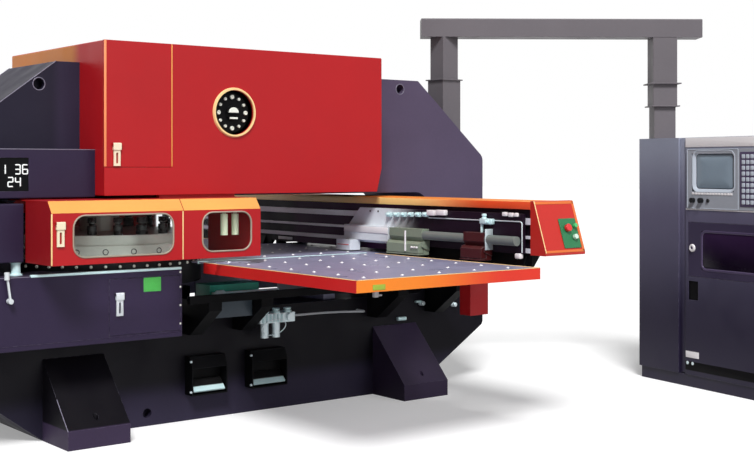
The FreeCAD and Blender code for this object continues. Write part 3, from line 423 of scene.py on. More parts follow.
@dataclass(frozen=True)
class Finish:
    """One finish of the press: colour, gloss, and how far its wear and dust go."""

    slot: str
    colour: Colour
    roughness: float = 0.42
    metallic: float = 0.0
    specular: float = 0.35
    coat: float = 0.0
    tone: float = 0.08
    tone_scale: float = 2.5
    edge_radius: float = 0.003
    wear: float = 0.35
    wear_colour: Colour = (0.30, 0.29, 0.30)
    dust: float = 0.12
    ripple: float = 180.0
    bump: float = 0.04
    brushed: bool = False
    glow: float = 0.0
    blends: tuple[Blend, ...] = ()


@dataclass(frozen=True)
class ClearSheet:
    """Clear or smoked sheet: plain transmission, with gloss and faint scuffs."""

    slot: str
    colour: Colour
    roughness: float = 0.06
    scuffs: float = 0.06
    scuff_scale: float = 240.0
    tone: float = 0.04
    bending: float = 1.1


DUST = linear(150, 145, 140)
BUMP_DEPTH = 0.002
COAT_ROUGHNESS = 0.12


class Finishes:
    """Makes each finish's material once, and hands it out by name."""

    def __init__(self, groups: EffectGroups) -> None:
        """Keep the shared groups."""
        self.groups = groups
        self.made: dict[str, bpy.types.Material] = {}

    def material(self, name: str) -> bpy.types.Material:
        """The material of that finish, made on first use."""
        if name not in self.made:
            material = self.made[name] = bpy.data.materials.new(name)
            material.use_nodes = True
            dress = self.clear if isinstance(PALETTE[name], ClearSheet) else self.coated
            dress(Wiring(material.node_tree), material.node_tree.nodes["Principled BSDF"], PALETTE[name])
        return self.made[name]

    @staticmethod
    def use(wire: Wiring, group: bpy.types.NodeTree, **values: object) -> bpy.types.bpy_prop_collection:
        """Place a shared group in a material with its own values, and give its outputs."""
        return wire.node("Group", values, node_tree=group).outputs

    @staticmethod
    def blended(wire: Wiring, finish: Finish) -> object:
        """The finish's colour with each of its blends laid over it in turn."""
        colour: object = (*finish.colour, 1)
        if finish.blends:
            where = wire.node("TexCoord", {}).outputs["Object"]
            place = wire.node("SeparateXYZ", {"Vector": where}).outputs
        for blend in finish.blends:
            first, *others = [wire.spread(place[axis], start, end, shape="SMOOTHSTEP")
                              for axis, start, end in blend.ramps]
            for ramp in others:
                first = wire.calc("MULTIPLY", first, ramp)
            colour = wire.mixed(first, colour, blend.colour)
        return colour

    def coated(self, wire: Wiring, shader: bpy.types.Node, finish: Finish) -> None:
        """Paint, plastic or metal with tone drift, edge wear, dust and a rippled film."""
        tone = self.use(wire, self.groups.tone, Colour=self.blended(wire, finish), Amount=finish.tone,
                        Scale=finish.tone_scale)
        wear = self.use(wire, self.groups.wear, Radius=finish.edge_radius, Amount=finish.wear)
        dust = self.use(wire, self.groups.dust, Amount=finish.dust)
        worn = wire.mixed(wear["Mask"], tone["Colour"], finish.wear_colour)
        film = self.use(wire, self.groups.film, Roughness=finish.roughness, Scale=finish.ripple)
        relief = self.use(wire, self.groups.streak) if finish.brushed else film
        bump = wire.node("Bump", {"Strength": finish.bump, "Distance": BUMP_DEPTH, "Height": relief["Height"],
                                  "Normal": wear["Normal"]})
        values = {"Base Color": wire.mixed(dust["Mask"], worn, DUST), "Roughness": film["Roughness"],
                  "Normal": bump.outputs["Normal"], "Metallic": finish.metallic,
                  "Specular IOR Level": finish.specular, "Coat Weight": finish.coat,
                  "Coat Roughness": COAT_ROUGHNESS}
        if finish.glow:
            values |= {"Emission Color": tone["Colour"], "Emission Strength": finish.glow}
        for label, value in values.items():
            wire.put(shader.inputs[label], value)

    def clear(self, wire: Wiring, shader: bpy.types.Node, finish: ClearSheet) -> None:
        """Clear sheet with a few scuffs in its gloss; rays from the lamps pass straight through it."""
        film = self.use(wire, self.groups.film, Roughness=finish.roughness, Spread=finish.scuffs,
                        Scale=finish.scuff_scale)
        tone = self.use(wire, self.groups.tone, Colour=(*finish.colour, 1), Amount=finish.tone)
        for label, value in {"Roughness": film["Roughness"], "Base Color": tone["Colour"],
                             "Transmission Weight": 1.0, "IOR": finish.bending}.items():
            wire.put(shader.inputs[label], value)
        shadow = wire.node("LightPath", {}).outputs["Is Shadow Ray"]
        open_air = wire.node("BsdfTransparent", {}).outputs[0]
        choice = wire.node("MixShader", {0: shadow, 1: shader.outputs[0], 2: open_air})
        wire.put(wire.tree.nodes["Material Output"].inputs["Surface"], choice.outputs[0])


RED: Rgb = (174, 22, 28)
ORANGE: Rgb = (236, 164, 84)
VIOLET: Rgb = (47, 42, 61)
NEAR_BLACK: Rgb = (22, 14, 24)
CREAM: Rgb = (250, 212, 150)


def coat(slot: str, colour: Rgb, worn: Rgb | None = None, **rest: object) -> Finish:
    """A finish whose colours are given as the eye reads them, 0 to 255."""
    if worn:
        rest["wear_colour"] = linear(*worn)
    return Finish(slot, linear(*colour), **rest)


def over(colour: Rgb, ramps: tuple[tuple[int, float, float], ...]) -> Blend:
    """A blend whose colour is given as the eye reads it, 0 to 255."""
    return Blend(linear(*colour), ramps)


PALETTE: dict[str, Finish | ClearSheet] = {
    "red_enamel": coat("red_paint", RED, roughness=0.36, specular=0.25, tone=0.05, wear=0.2,
        worn=(235, 120, 80), dust=0.03),
    # Guard door: darker red on its left end face than on its front, painted shade on that side.
    "guard_enamel_shaded_end": coat("red_paint", (150, 20, 24), roughness=0.36, specular=0.25, tone=0.05, wear=0.2,
        worn=(235, 120, 80), dust=0.03, blends=(over(RED, ((0, -1.4995, -1.498),)),)),
    # Head cover: orange over the upper rear part of its left wall, a painted sheen.
    "cover_enamel_painted_sheen": coat("red_paint", RED, roughness=0.36, specular=0.25, tone=0.05, wear=0.2,
        worn=(235, 120, 80), dust=0.03, blends=(over((206, 122, 44), ((1, -0.34, -0.20), (2, 1.985, 2.0),
        (0, -1.0985, -1.0995))),)),
    # Wing skirts: red on the left end faces, orange on the fronts and turning red towards the right: painted light
    # and shade.
    "skirt_enamel_painted_light": coat("skirt_paint", (206, 34, 34), roughness=0.36, specular=0.25, tone=0.05, wear=0.25,
        worn=(245, 170, 110), dust=0.03, blends=(over((238, 132, 40), ((0, -0.5285, -0.5275),)),
        over((214, 52, 36), ((0, -0.25, 0.45),)))),
    # Orange for the painted highlights on the guard's top bevel and the head cover door's seam.
    "orange_highlight": coat("trim", ORANGE, roughness=0.36, tone=0.06, wear=0.1, dust=0.02),
    # Beam: near black towards both ends along Y and violet in its middle, painted shade; orange over its top, the
    # colour of its cover.
    "beam_enamel_painted_shade": coat("skirt_paint", NEAR_BLACK, roughness=0.5, specular=0.08, tone=0.08, wear=0.2,
        worn=(90, 60, 90), dust=0.03, blends=(over((62, 26, 62), ((1, -1.35, -0.35),)), over(NEAR_BLACK,
        ((1, 0.3, 0.45),)), over((238, 140, 54), ((2, 1.2385, 1.2395),)))),
    # Beam's top strip: red-orange at the front end, turning pale towards the back, a painted sheen.
    "beam_strip": coat("skirt_paint", (222, 74, 32), roughness=0.36, tone=0.06, wear=0.1, dust=0.02,
        blends=(over((250, 208, 130), ((1, -1.55, -0.75),)),)),
    # Orange for the painted highlights on the borders of the beam's end caps.
    "cap_highlight_orange": coat("trim", (214, 108, 50), roughness=0.36, tone=0.06, wear=0.1, dust=0.02),
    "cap_enamel": coat("skirt_paint", (188, 38, 30), roughness=0.36, tone=0.06, wear=0.2,
        worn=(250, 200, 140), dust=0.03),
    # Cream: the dial's trim ring, and painted highlight lines on the guard's corner and seam, the wing tables'
    # edges and the caps' edges.
    "cream_trim_and_highlight": coat("trim", CREAM, roughness=0.4, tone=0.05, wear=0.1, dust=0.02),
    # Salmon for the painted highlight on the corner of the head cover's door.
    "salmon_highlight": coat("trim", (244, 146, 96), roughness=0.4, tone=0.05, wear=0.1, dust=0.02),
    "cream_latch": coat("white_paint", (240, 226, 196), roughness=0.4, tone=0.06, wear=0.3,
        worn=(120, 90, 70), dust=0.03),
    "violet_enamel": coat("dark_paint", (44, 35, 59), roughness=0.46, specular=0.15, tone=0.1, wear=0.45,
        worn=(140, 135, 152), dust=0.07),
    # Frame: darker left of X -1.2, painted shade; lighter on the upper right, painted light; near black from z
    # 0.26 up to 0.9, a painted shadow under the tables and the cabinet.
    "frame_enamel_painted_shade": coat("dark_paint", (34, 31, 46), roughness=0.48, specular=0.12, tone=0.1, wear=0.4,
        worn=(140, 140, 155), dust=0.02, blends=(over(VIOLET, ((0, -1.27, -1.20),)), over((84, 74, 96),
        ((0, 0.2, 1.3), (2, 1.02, 1.2))), over((15, 13, 20), ((2, 0.95, 0.90), (2, 0.14, 0.26))))),
    # Toes: near black on the left toe above its low front face, a painted shadow under the cabinet.
    "toe_enamel_painted_shadow": coat("dark_paint", (56, 46, 68), roughness=0.48, specular=0.12, tone=0.1, wear=0.5,
        worn=(150, 145, 165), dust=0.02, blends=(over((13, 11, 17), ((0, 0.2, -0.2),
        (2, 0.098, 0.106))),)),
    # Lilac for the painted highlight lines on the frame's, box's and toes' edges and round the lifting holes.
    "lilac_highlight": coat("dark_paint", (120, 116, 134), roughness=0.4, tone=0.06, wear=0.2, dust=0.05),
    "table_enamel": coat("table_paint", (146, 146, 174), roughness=0.34, tone=0.07, wear=0.3,
        worn=(210, 210, 225), dust=0.04),
    "duct_enamel": coat("duct_paint", (100, 95, 100), roughness=0.5, tone=0.08, wear=0.3,
        worn=(160, 150, 158), dust=0.1),
    "black_enamel": coat("black_paint", (7, 7, 9), roughness=0.55, specular=0.08, tone=0.15, wear=0.3,
        worn=(60, 62, 68), dust=0.02),
    "off_white": coat("white_paint", (206, 212, 216), roughness=0.42, tone=0.07, wear=0.3,
        worn=(120, 120, 120), dust=0.05),
    # Carriage plate: white towards the back, near black towards its front end, painted shade.
    "carriage_white_painted_shade": coat("white_paint", (26, 12, 28), roughness=0.45, specular=0.15, tone=0.07, wear=0.3,
        worn=(120, 120, 120), dust=0.05, blends=(over((230, 236, 242), ((1, -0.98, -0.62),)),)),
    "clamp_enamel": coat("grey_paint", (66, 16, 18), roughness=0.45, tone=0.1, wear=0.35,
        worn=(190, 190, 195), dust=0.05, blends=(over((132, 144, 126), ((1, -1.35, -1.25),)),)),
    "mid_grey": coat("grey_paint", (112, 120, 116), roughness=0.45, tone=0.1, wear=0.35,
        worn=(190, 190, 195), dust=0.08),
    "rim_grey": coat("grey_paint", (158, 146, 130), roughness=0.42, tone=0.08, wear=0.3,
        worn=(210, 205, 195), dust=0.03),
    "motor_enamel": coat("grey_paint", (66, 78, 88), roughness=0.45, tone=0.2, tone_scale=8.0, wear=0.4,
        worn=(170, 190, 190), dust=0.08, blends=(over((18, 140, 118), ((2, 0.702, 0.716),)),)),
    "green_plate": coat("green_panel", (36, 112, 70), roughness=0.4, tone=0.06, wear=0.2,
        worn=(150, 200, 170), dust=0.02),
    "bright_green": coat("green_panel", (66, 160, 70), roughness=0.4, tone=0.08, wear=0.2,
        worn=(170, 215, 150), dust=0.02),
    "lime_plate": coat("green_panel", (150, 172, 60), roughness=0.4, tone=0.05, wear=0.1, dust=0.02),
    "lit_steel": coat("bright_steel", (228, 230, 220), roughness=0.36, metallic=0.5, tone=0.1, wear=0.2,
        worn=(245, 245, 240), dust=0.02, bump=0.1, brushed=True),
    "blackened_steel": coat("dark_steel", (20, 20, 22), roughness=0.42, metallic=0.3, specular=0.2,
        tone=0.18, wear=0.6, worn=(150, 152, 156), dust=0.02),
    "turret_steel": coat("bright_steel", (208, 212, 198), roughness=0.38, metallic=0.35, tone=0.1,
        wear=0.3, worn=(250, 250, 244), dust=0.02, bump=0.1, brushed=True),
    # Punch holders: dark steel whose edges are worn bright, edge wear that also stands in as painted glints.
    "holder_steel": coat("bright_steel", (52, 52, 50), roughness=0.32, metallic=0.5, tone=0.1, wear=0.8,
        worn=(240, 240, 232), dust=0.0, bump=0.1, brushed=True),
    "column_steel": coat("bright_steel", (226, 232, 196), roughness=0.35, metallic=0.1, tone=0.06,
        wear=0.2, worn=(250, 250, 244), dust=0.01, bump=0.1, brushed=True),
    "satin_alloy": coat("alloy", (214, 228, 232), roughness=0.38, metallic=0.4, tone=0.09, wear=0.25,
        worn=(235, 240, 242), dust=0.04, bump=0.08, brushed=True),
    # Beam rails: darker towards the back along Y, painted shade.
    "rail_steel_painted_shade": coat("alloy", (226, 224, 234), roughness=0.38, metallic=0.1, tone=0.14, wear=0.25,
        worn=(235, 240, 242), dust=0.04, bump=0.08, brushed=True, blends=(over((176, 164, 178),
        ((1, -0.2, 0.3),)),)),
    # Pedal treads: white at the bottom, near black above z 0.2 under the hoods, a painted shadow.
    "tread_white_painted_shadow": coat("white_paint", (206, 236, 238), roughness=0.4, tone=0.07, wear=0.3,
        worn=(120, 120, 120), dust=0.03, blends=(over((8, 8, 10), ((2, 0.196, 0.202),)),)),
    "pale_cyan": coat("alloy", (210, 240, 242), roughness=0.36, metallic=0.1, tone=0.12, tone_scale=9.0,
        wear=0.25, worn=(240, 248, 248), dust=0.02),
    "ball_white": coat("white_cap", (240, 240, 240), roughness=0.25, tone=0.05, wear=0.1, dust=0.02),
    "guard_pane": ClearSheet("window", linear(236, 240, 242)),
    "display_glass": coat("display", (4, 5, 7), roughness=0.2, specular=0.1, tone=0.1, wear=0.1, dust=0.0),
    "screen_glass": coat("display", (140, 156, 170), roughness=0.22, specular=0.3, tone=0.05, wear=0.1,
        dust=0.02),
    "panel_glass": coat("display", (22, 12, 30), roughness=0.2, specular=0.2, tone=0.1, wear=0.1,
        dust=0.02, blends=(over((48, 30, 60), ((2, 0.8, 1.05),)),)),
    "fascia_grey": coat("grey_paint", (164, 168, 178), roughness=0.42, tone=0.06, wear=0.3,
        worn=(215, 218, 224), dust=0.03),
    "bezel_light": coat("grey_paint", (196, 204, 216), roughness=0.4, tone=0.05, wear=0.2,
        worn=(230, 232, 238), dust=0.02),
    "header_white": coat("white_paint", (238, 234, 236), roughness=0.4, tone=0.04, wear=0.1, dust=0.02),
    "keypad_purple": coat("grey_paint", (74, 62, 92), roughness=0.4, tone=0.1, wear=0.2,
        worn=(150, 140, 165), dust=0.03),
    # Console: dark violet at the foot, turning grey-lilac towards the top, a painted reflection.
    "console_enamel_painted_reflection": coat("dark_paint", (34, 28, 50), roughness=0.44, specular=0.3, tone=0.06, wear=0.4,
        worn=(150, 145, 165), dust=0.08, blends=(over((96, 92, 116), ((2, 0.35, 1.25),)),
        over((146, 150, 168), ((2, 1.1, 1.66),)))),
    "console_leaf": coat("dark_paint", (54, 46, 71), roughness=0.44, specular=0.3, tone=0.06, wear=0.5,
        worn=(140, 135, 155), dust=0.08),
    "digit_white": coat("white_cap", (232, 238, 236), roughness=0.5, tone=0.04, wear=0.0, dust=0.0,
        glow=0.25),
    "red_button": coat("red_cap", (214, 44, 44), roughness=0.25, coat=0.3, tone=0.04, wear=0.1, dust=0.0),
    "green_button": coat("green_cap", (72, 186, 110), roughness=0.25, coat=0.3, tone=0.04, wear=0.1,
        dust=0.0),
    "white_button": coat("white_cap", (206, 232, 214), roughness=0.25, coat=0.3, tone=0.04, wear=0.1,
        dust=0.0),
    "black_plastic": coat("black_knob", (20, 20, 24), roughness=0.35, tone=0.1, wear=0.2,
        worn=(90, 90, 95), dust=0.04),
    "grip_black": coat("black_knob", (4, 3, 5), roughness=0.6, specular=0.1, tone=0.1, wear=0.1, dust=0.0),
}

NODE_FINISH: dict[str, str] = {
    "bridge_frame": "frame_enamel_painted_shade", "foot_toes": "toe_enamel_painted_shadow", "head_cover": "cover_enamel_painted_sheen",
    "head_door": "red_enamel", "head_latch": "cream_latch", "dial_trim": "cream_trim_and_highlight",
    "clutch_disc": "black_enamel", "readout_housing": "violet_enamel", "display_screens": "display_glass",
    "side_housing": "violet_enamel", "service_cabinet": "violet_enamel", "cabinet_door": "violet_enamel",
    "cabinet_latch": "off_white", "side_lever": "off_white", "guard_fixed": "red_enamel",
    "guard_door": "guard_enamel_shaded_end", "guard_window": "guard_pane", "guard_door_window": "guard_pane",
    "guard_latch": "cream_latch", "rear_guard": "red_enamel", "air_cylinders": "column_steel",
    "turret_spindles": "blackened_steel", "upper_turret": "turret_steel", "punches": "holder_steel",
    "lower_turret": "blackened_steel", "ram": "column_steel", "ram_housing": "blackened_steel",
    "centre_table": "table_enamel", "wing_tables": "table_enamel", "wing_skirts": "skirt_enamel_painted_light",
    "carriage_beam": "beam_enamel_painted_shade", "beam_rails": "rail_steel_painted_shade", "end_caps": "cap_enamel",
    "beam_supports": "black_enamel", "drive_box": "red_enamel", "cross_rails": "black_enamel",
    "rail_brackets": "black_enamel", "axis_motor": "motor_enamel", "carriage_plate": "carriage_white_painted_shade",
    "clamp_bodies": "clamp_enamel", "clamp_cylinders": "mid_grey", "clamp_jaw_1": "clamp_enamel",
    "clamp_jaw_2": "clamp_enamel", "button_panel": "green_plate", "stop_button": "red_button",
    "start_button": "green_button", "hold_button": "white_button", "pedal_hoods": "black_enamel",
    "pedal_left": "tread_white_painted_shadow", "pedal_right": "tread_white_painted_shadow", "air_regulator": "satin_alloy",
    "air_pipe": "off_white", "left_duct_post": "duct_enamel", "right_duct_post": "duct_enamel",
    "overhead_duct": "duct_enamel", "console_cabinet": "console_enamel_painted_reflection", "console_fascia": "fascia_grey",
    "console_door": "console_leaf", "knob_left": "black_plastic", "knob_right": "black_plastic",
}


class Workshop:
    """Turns surfaces into pieces that wear a finish and ride on a body of the press."""

    def __init__(self) -> None:
        """Make the finishes."""
        self.finishes = Finishes(EffectGroups())
        self.count = 0

    def dress_nodes(self) -> None:
        """Give every CAD node its finish."""
        for node, finish in NODE_FINISH.items():
            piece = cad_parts[node]
            material = self.finishes.material(finish)
            for slot in piece.material_slots:
                slot.material = material
            if not piece.material_slots:
                piece.data.materials.append(material)
        log.info("dressed %d nodes", len(NODE_FINISH))

    def add(self, name: str, surface: Surface, finish: str, body: str = "machine",
            sharp: float = 35.0) -> bpy.types.Object:
        """Make a piece.

        Args:
            name: the piece's name.
            surface: its closed surface.
            finish: the name of its finish.
            body: the body of the press that it rides on.
            sharp: the angle in degrees past which an edge is left sharp.

        Returns:
            The object, at the origin, with its place in its mesh.
        """
        mesh = bpy.data.meshes.new(name)
        mesh.from_pydata(surface.points.tolist(), [],
                         [row for rows in surface.faces for row in rows.tolist()])
        work = bmesh.new()
        work.from_mesh(mesh)
        bmesh.ops.remove_doubles(work, verts=work.verts, dist=1e-6)
        bmesh.ops.recalc_face_normals(work, faces=work.faces)
        work.to_mesh(mesh)
        work.free()
        mesh.shade_smooth()
        mesh.set_sharp_from_angle(angle=math.radians(sharp))
        mesh.materials.append(self.finishes.material(finish))
        piece = bpy.data.objects.new(name, mesh)
        bpy.context.scene.collection.objects.link(piece)
        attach(piece, body)
        self.count += 1
        log.info("%s: %d faces on %s", name, len(mesh.polygons), body)
        return piece


# ---------------------------------------------------------------- sub-assemblies
@dataclass
class HeadHighlights:
    """Painted highlights on the corner and along the seam of the red head cover's door."""

    left: float = -1.100
    front: float = -0.620
    seam: float = -0.7035
    floor: float = 1.452
    top: float = 2.114
    corner_size: Pair = (0.012, 0.003)
    seam_size: Pair = (0.006, 0.006)
    proud: float = 0.0016

    def build(self, shop: Workshop) -> None:
        """Make both painted highlight lines."""
        face, (wide, deep) = self.front - self.proud, self.corner_size
        shop.add("head_corner_highlight", block((self.left - self.proud, face, self.floor),
                                           (self.left + wide, self.front + deep, self.top), 0.0014),
                 "salmon_highlight", "head_door")
        wide, deep = self.seam_size
        shop.add("head_seam_highlight", block((self.seam - wide / 2, face, self.floor),
                                         (self.seam + wide / 2, self.front + deep, self.top), 0.0012),
                 "orange_highlight")


@dataclass
class ClutchDial:
    """Bolts and hub of the round clutch behind the cover's dial opening."""

    centre: Point = (-0.311, -0.592, 1.755)
    bolts: int = 12
    bolt_ring: float = 0.088
    bolt_radius: float = 0.0092
    main_bolt_radius: float = 0.0128
    bolt_height: float = 0.010
    hub_radius: float = 0.040
    hub_face: float = -0.612
    pad_depths: tuple[float, ...] = (0.004, -0.002, -0.0055, -0.0075)
    pad_scales: tuple[float, ...] = (1.0, 1.0, 0.97, 0.90)
    plate_half: float = 0.026
    plate_span: Pair = (-0.037, -0.026)

    def bolt(self, radius: float) -> Surface:
        """A socket-head bolt: a turned head with a rounded edge and a hollow socket."""
        h = self.bolt_height
        return lathe([(0, 0), (radius, 0), (radius, h * 0.75), (radius * 0.86, h), (radius * 0.5, h),
                      (radius * 0.46, h * 0.45), (0, h * 0.45)], 16)

    def pad(self, outline: np.ndarray) -> Surface:
        """A raised pad on the hub: the outline carried out from the face and drawn in at its edge."""
        middle = outline.mean(0)
        flat = middle + (outline[None] - middle) * np.array(self.pad_scales)[:, None, None]
        y = np.broadcast_to((self.hub_face + np.array(self.pad_depths))[:, None], flat.shape[:2])
        x, _, z = self.centre
        return grid(np.stack([flat[..., 0], y, flat[..., 1]], -1), close_v=True, caps=True).moved((x, 0, z))

    def build(self, shop: Workshop) -> None:
        """Make the ring of bolts, every third one larger, and the two bright halves of the hub."""
        x, y, z = self.centre
        number = np.arange(self.bolts)
        angles, main = number * 2 * math.pi / self.bolts, number % 3 == 0
        for name, chosen, radius in (("clutch_main_bolts", main, self.main_bolt_radius),
                                     ("clutch_bolts", ~main, self.bolt_radius)):
            around = angles[chosen]
            offsets = np.stack([x + self.bolt_ring * np.cos(around), np.full(len(around), y),
                                z + self.bolt_ring * np.sin(around)], -1)
            shop.add(name, self.bolt(radius).laid(Facing.FRONT).repeated(offsets), "lit_steel", "clutch")
        half_turn = np.linspace(0, math.pi, 13)
        dome = np.stack([self.hub_radius * 0.82 * np.cos(half_turn),
                         -0.002 + self.hub_radius * 0.80 * np.sin(half_turn)], -1)
        (low, high), half = self.plate_span, self.plate_half
        plate = np.array([(half, low), (half, high), (-half, high), (-half, low)])
        shop.add("clutch_hub_dome", self.pad(dome), "lit_steel", "clutch")
        shop.add("clutch_hub_plate", self.pad(plate), "lit_steel", "clutch")


@dataclass
class WindowRims:
    """Grey rubber-and-steel rims round the guard's two windows."""

    front: float = -0.870
    floor: float = 1.005
    top: float = 1.208
    corner: float = 0.058
    door_span: Pair = (-1.383, -0.835)
    fixed_span: Pair = (-0.657, -0.360)
    width: float = 0.009
    proud: float = 0.005
    lap: float = 0.002

    def section(self) -> Profile:
        """A low rounded ridge, from just inside the opening to the rim's outer edge."""
        ridge = [(self.width * (1 - math.cos(t)) / 2 - self.lap, 0.001 + self.proud * math.sin(t))
                 for t in np.linspace(0, math.pi, 7)]
        return [(-self.lap, -0.003)] + ridge + [(self.width - self.lap, -0.001)]

    def build(self, shop: Workshop) -> None:
        """Make one rim for each window."""
        for name, (x0, x1), body in (("door_window_rim", self.door_span, "front_guard_door"),
                                     ("fixed_window_rim", self.fixed_span, "machine")):
            loop = rim(x1 - x0, self.top - self.floor, self.corner, self.section())
            middle = ((x0 + x1) / 2, self.front, (self.floor + self.top) / 2)
            shop.add(name, loop.laid(Facing.FRONT, middle), "rim_grey", body, sharp=60)


@dataclass
class GuardHighlights:
    """Painted highlights: an orange sheet on the bevel along the guard's top, and lines on its corner and its
    seam.
    """

    left: float = -1.500
    seam: float = -0.771
    right: float = -0.297
    front: float = -0.870
    floor: float = 0.967
    bevel_floor: float = 1.222
    top: float = 1.283
    set_back: float = 0.048
    thick: float = 0.0018
    gap: float = 0.002
    proud: float = 0.0014
    edge: float = 0.0012

    def bevel(self, x0: float, x1: float) -> Surface:
        """A thin sheet on the slope: its rectangle carried out along the slope's own normal."""
        rise = self.top - self.bevel_floor
        slope = math.hypot(rise, self.set_back)
        up = np.array([0, self.set_back, rise]) / slope
        out = np.array([0, -rise, self.set_back]) / slope
        foot = np.array([(x0 + x1) / 2, self.front, self.bevel_floor])
        plate = slab(x1 - x0, slope - self.gap, self.gap, self.thick, self.edge)
        return plate.placed(np.array([(1, 0, 0), up, out]), foot + up * slope / 2)

    def build(self, shop: Workshop) -> None:
        """Make the painted highlights on the bevels of the door and the fixed part, and the upright highlight
        lines.
        """
        shop.add("door_bevel_highlight", self.bevel(self.left + 0.001, self.seam - self.gap), "orange_highlight",
                 "front_guard_door")
        shop.add("fixed_bevel_highlight", self.bevel(self.seam + self.gap, self.right - 0.001), "orange_highlight")
        face, foot = self.front - self.proud, self.floor + self.gap
        shop.add("guard_corner_highlight", block((self.left - 0.0012, face, foot),
                                            (self.left + 0.006, self.front + 0.004, self.bevel_floor), self.edge),
                 "cream_trim_and_highlight", "front_guard_door")
        shop.add("guard_seam_highlight", block((self.seam - 0.008, face, foot),
                                          (self.seam - 0.0015, self.front + 0.003, self.bevel_floor - 0.001),
                                          self.edge), "cream_trim_and_highlight", "front_guard_door")


@dataclass
class TurretTooling:
    """Punch holders standing in the upper turret, and the sockets round its rim."""

    ring: float = 0.519
    stations: int = 24
    foot: float = 1.086
    head: float = 1.180
    big_radius: float = 0.034
    small_radius: float = 0.026
    rim_radius: float = 0.575
    rim_level: float = 0.999
    socket_radius: float = 0.013

    def holder(self, radius: float) -> Surface:
        """A punch holder: spring collar, neck and head, turned from one profile."""
        shares = ((0, 0), (1, 0), (1, 0.018), (0.92, 0.021), (0.92, 0.026), (1, 0.029), (1, 0.052),
                  (0.62, 0.055), (0.62, 0.064), (0.93, 0.067))
        top = [(radius * 0.93, self.head - 0.004), (radius * 0.84, self.head), (0, self.head)]
        return lathe([(radius * r, self.foot + h) for r, h in shares] + top, 20)

    def build(self, shop: Workshop) -> None:
        """Make the holders for all stations, every third one larger, and the ring of sockets."""
        x = TURRET_AXIS[0]
        number = np.arange(self.stations)
        angles, big = number * 2 * math.pi / self.stations, number % 3 == 0
        rings = []
        for chosen, radius in ((big, self.big_radius), (~big, self.small_radius)):
            around = angles[chosen]
            rings.append(self.holder(radius).repeated(np.stack(
                [x + self.ring * np.cos(around), self.ring * np.sin(around), np.zeros(len(around))], -1)))
        holders = shop.add("punch_holders", joined(*rings), "holder_steel", "turret_top")
        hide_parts("punches")
        r = self.socket_radius
        cup = lathe([(r * 1.25, -0.003), (r * 1.25, 0.0015), (r, 0.0022), (r * 0.8, -0.002), (0, -0.002),
                     (0, -0.003)], 14)
        cup = cup.laid(Facing.RIGHT, (x + self.rim_radius, 0, self.rim_level))
        shop.add("turret_sockets", cup.turned_copies(angles + math.pi / self.stations, TURRET_AXIS),
                 "blackened_steel", "turret_top")


@dataclass
class DieRing:
    """Bright studs round the lower turret's rim, which show in the gap under the guard."""

    rim_radius: float = 0.575
    level: float = 0.921
    count: int = 48
    profile: tuple[Pair, ...] = ((0, -0.001), (0.0085, -0.001), (0.0085, 0.005), (0.006, 0.008), (0, 0.008))

    def build(self, shop: Workshop) -> None:
        """Make the studs, turned about the turret's own axis."""
        stud = lathe(self.profile, 10).laid(Facing.RIGHT, (TURRET_AXIS[0] + self.rim_radius, 0, self.level))
        angles = np.arange(self.count) * 2 * math.pi / self.count
        shop.add("die_studs", stud.turned_copies(angles, TURRET_AXIS), "lit_steel", "turret_bottom")


@dataclass
class BallTransfers:
    """Rows of ball transfers let into the table plates."""

    plate_top: float = 0.926
    ball_radius: float = 0.0078
    sunk: float = math.pi / 9
    pitch: float = 0.215
    turret_clearance: float = 0.63
    centre_plate: tuple[Pair, Pair] = ((-0.10, 1.32), (-0.56, 0.56))
    wing_plates: tuple[tuple[Pair, Pair], ...] = (((-0.52, 0.66), (-2.03, -0.61)),
                                                  ((-0.52, 0.66), (0.61, 2.03)))

    def ball(self) -> Surface:
        """A low cup with the crown of the ball above it, turned from one profile."""
        r = self.ball_radius
        crown = [(r * math.cos(t), r * (math.sin(t) - math.sin(self.sunk)) * 0.78 + 0.0018)
                 for t in np.linspace(self.sunk, math.pi / 2, 5)]
        return lathe([(0, -0.001), (r * 1.35, -0.001), (r * 1.3, 0.0014), (r, 0.0018)] + crown[1:-1]
                     + [(0, crown[-1][1])], 12)

    def rows(self, *spans: Pair) -> np.ndarray:
        """Centres over a rectangle, at about the pitch and half a pitch from its edges."""
        x, y = [low + (np.arange(count) + 0.5) * (high - low) / count
                for low, high in spans for count in [max(1, round((high - low) / self.pitch))]]
        return spots_over(x, y, self.plate_top)

    def build(self, shop: Workshop) -> None:
        """Make the balls of the fixed table, clear of the turret, and of the two wings."""
        centre = self.rows(*self.centre_plate)
        clear = np.hypot(centre[:, 0] - TURRET_AXIS[0], centre[:, 1]) > self.turret_clearance
        shop.add("centre_table_balls", self.ball().repeated(centre[clear]), "ball_white")
        wings = np.vstack([self.rows(*plate) for plate in self.wing_plates])
        shop.add("wing_table_balls", self.ball().repeated(wings), "ball_white", "beam_carriage")


@dataclass
class TableEdge:
    """Painted highlight along the top edges of the wing skirts, and the bare plate on the front one."""

    left: float = -0.529
    right: float = 0.669
    outer: float = 2.039
    inner: float = 0.656
    top: float = 0.926
    width: float = 0.009
    sunk: float = 0.002
    height: float = 0.0022
    plate_at: Pair = (-0.396, 0.889)

    def build(self, shop: Workshop) -> None:
        """Make the highlight lines of both wings and the plate."""
        bars = []
        for side in (-1, 1):
            far, near, inside = side * self.outer, side * self.inner, side * (self.outer - self.width)
            for x0, x1, reach in ((self.left, self.right, inside), (self.left, self.left + self.width, near),
                                  (self.right - self.width, self.right, near)):
                bars.append(block((x0, min(far, reach), self.top - self.sunk),
                                  (x1, max(far, reach), self.top + self.height), 0.0012))
        shop.add("table_edge_highlight", joined(*bars), "cream_trim_and_highlight", "beam_carriage")
        x, z = self.plate_at
        plate = slab(0.075, 0.026, 0.003, 0.002, 0.001).laid(Facing.FRONT, (x, -self.outer, z))
        shop.add("front_skirt_plate", plate, "lime_plate", "beam_carriage")


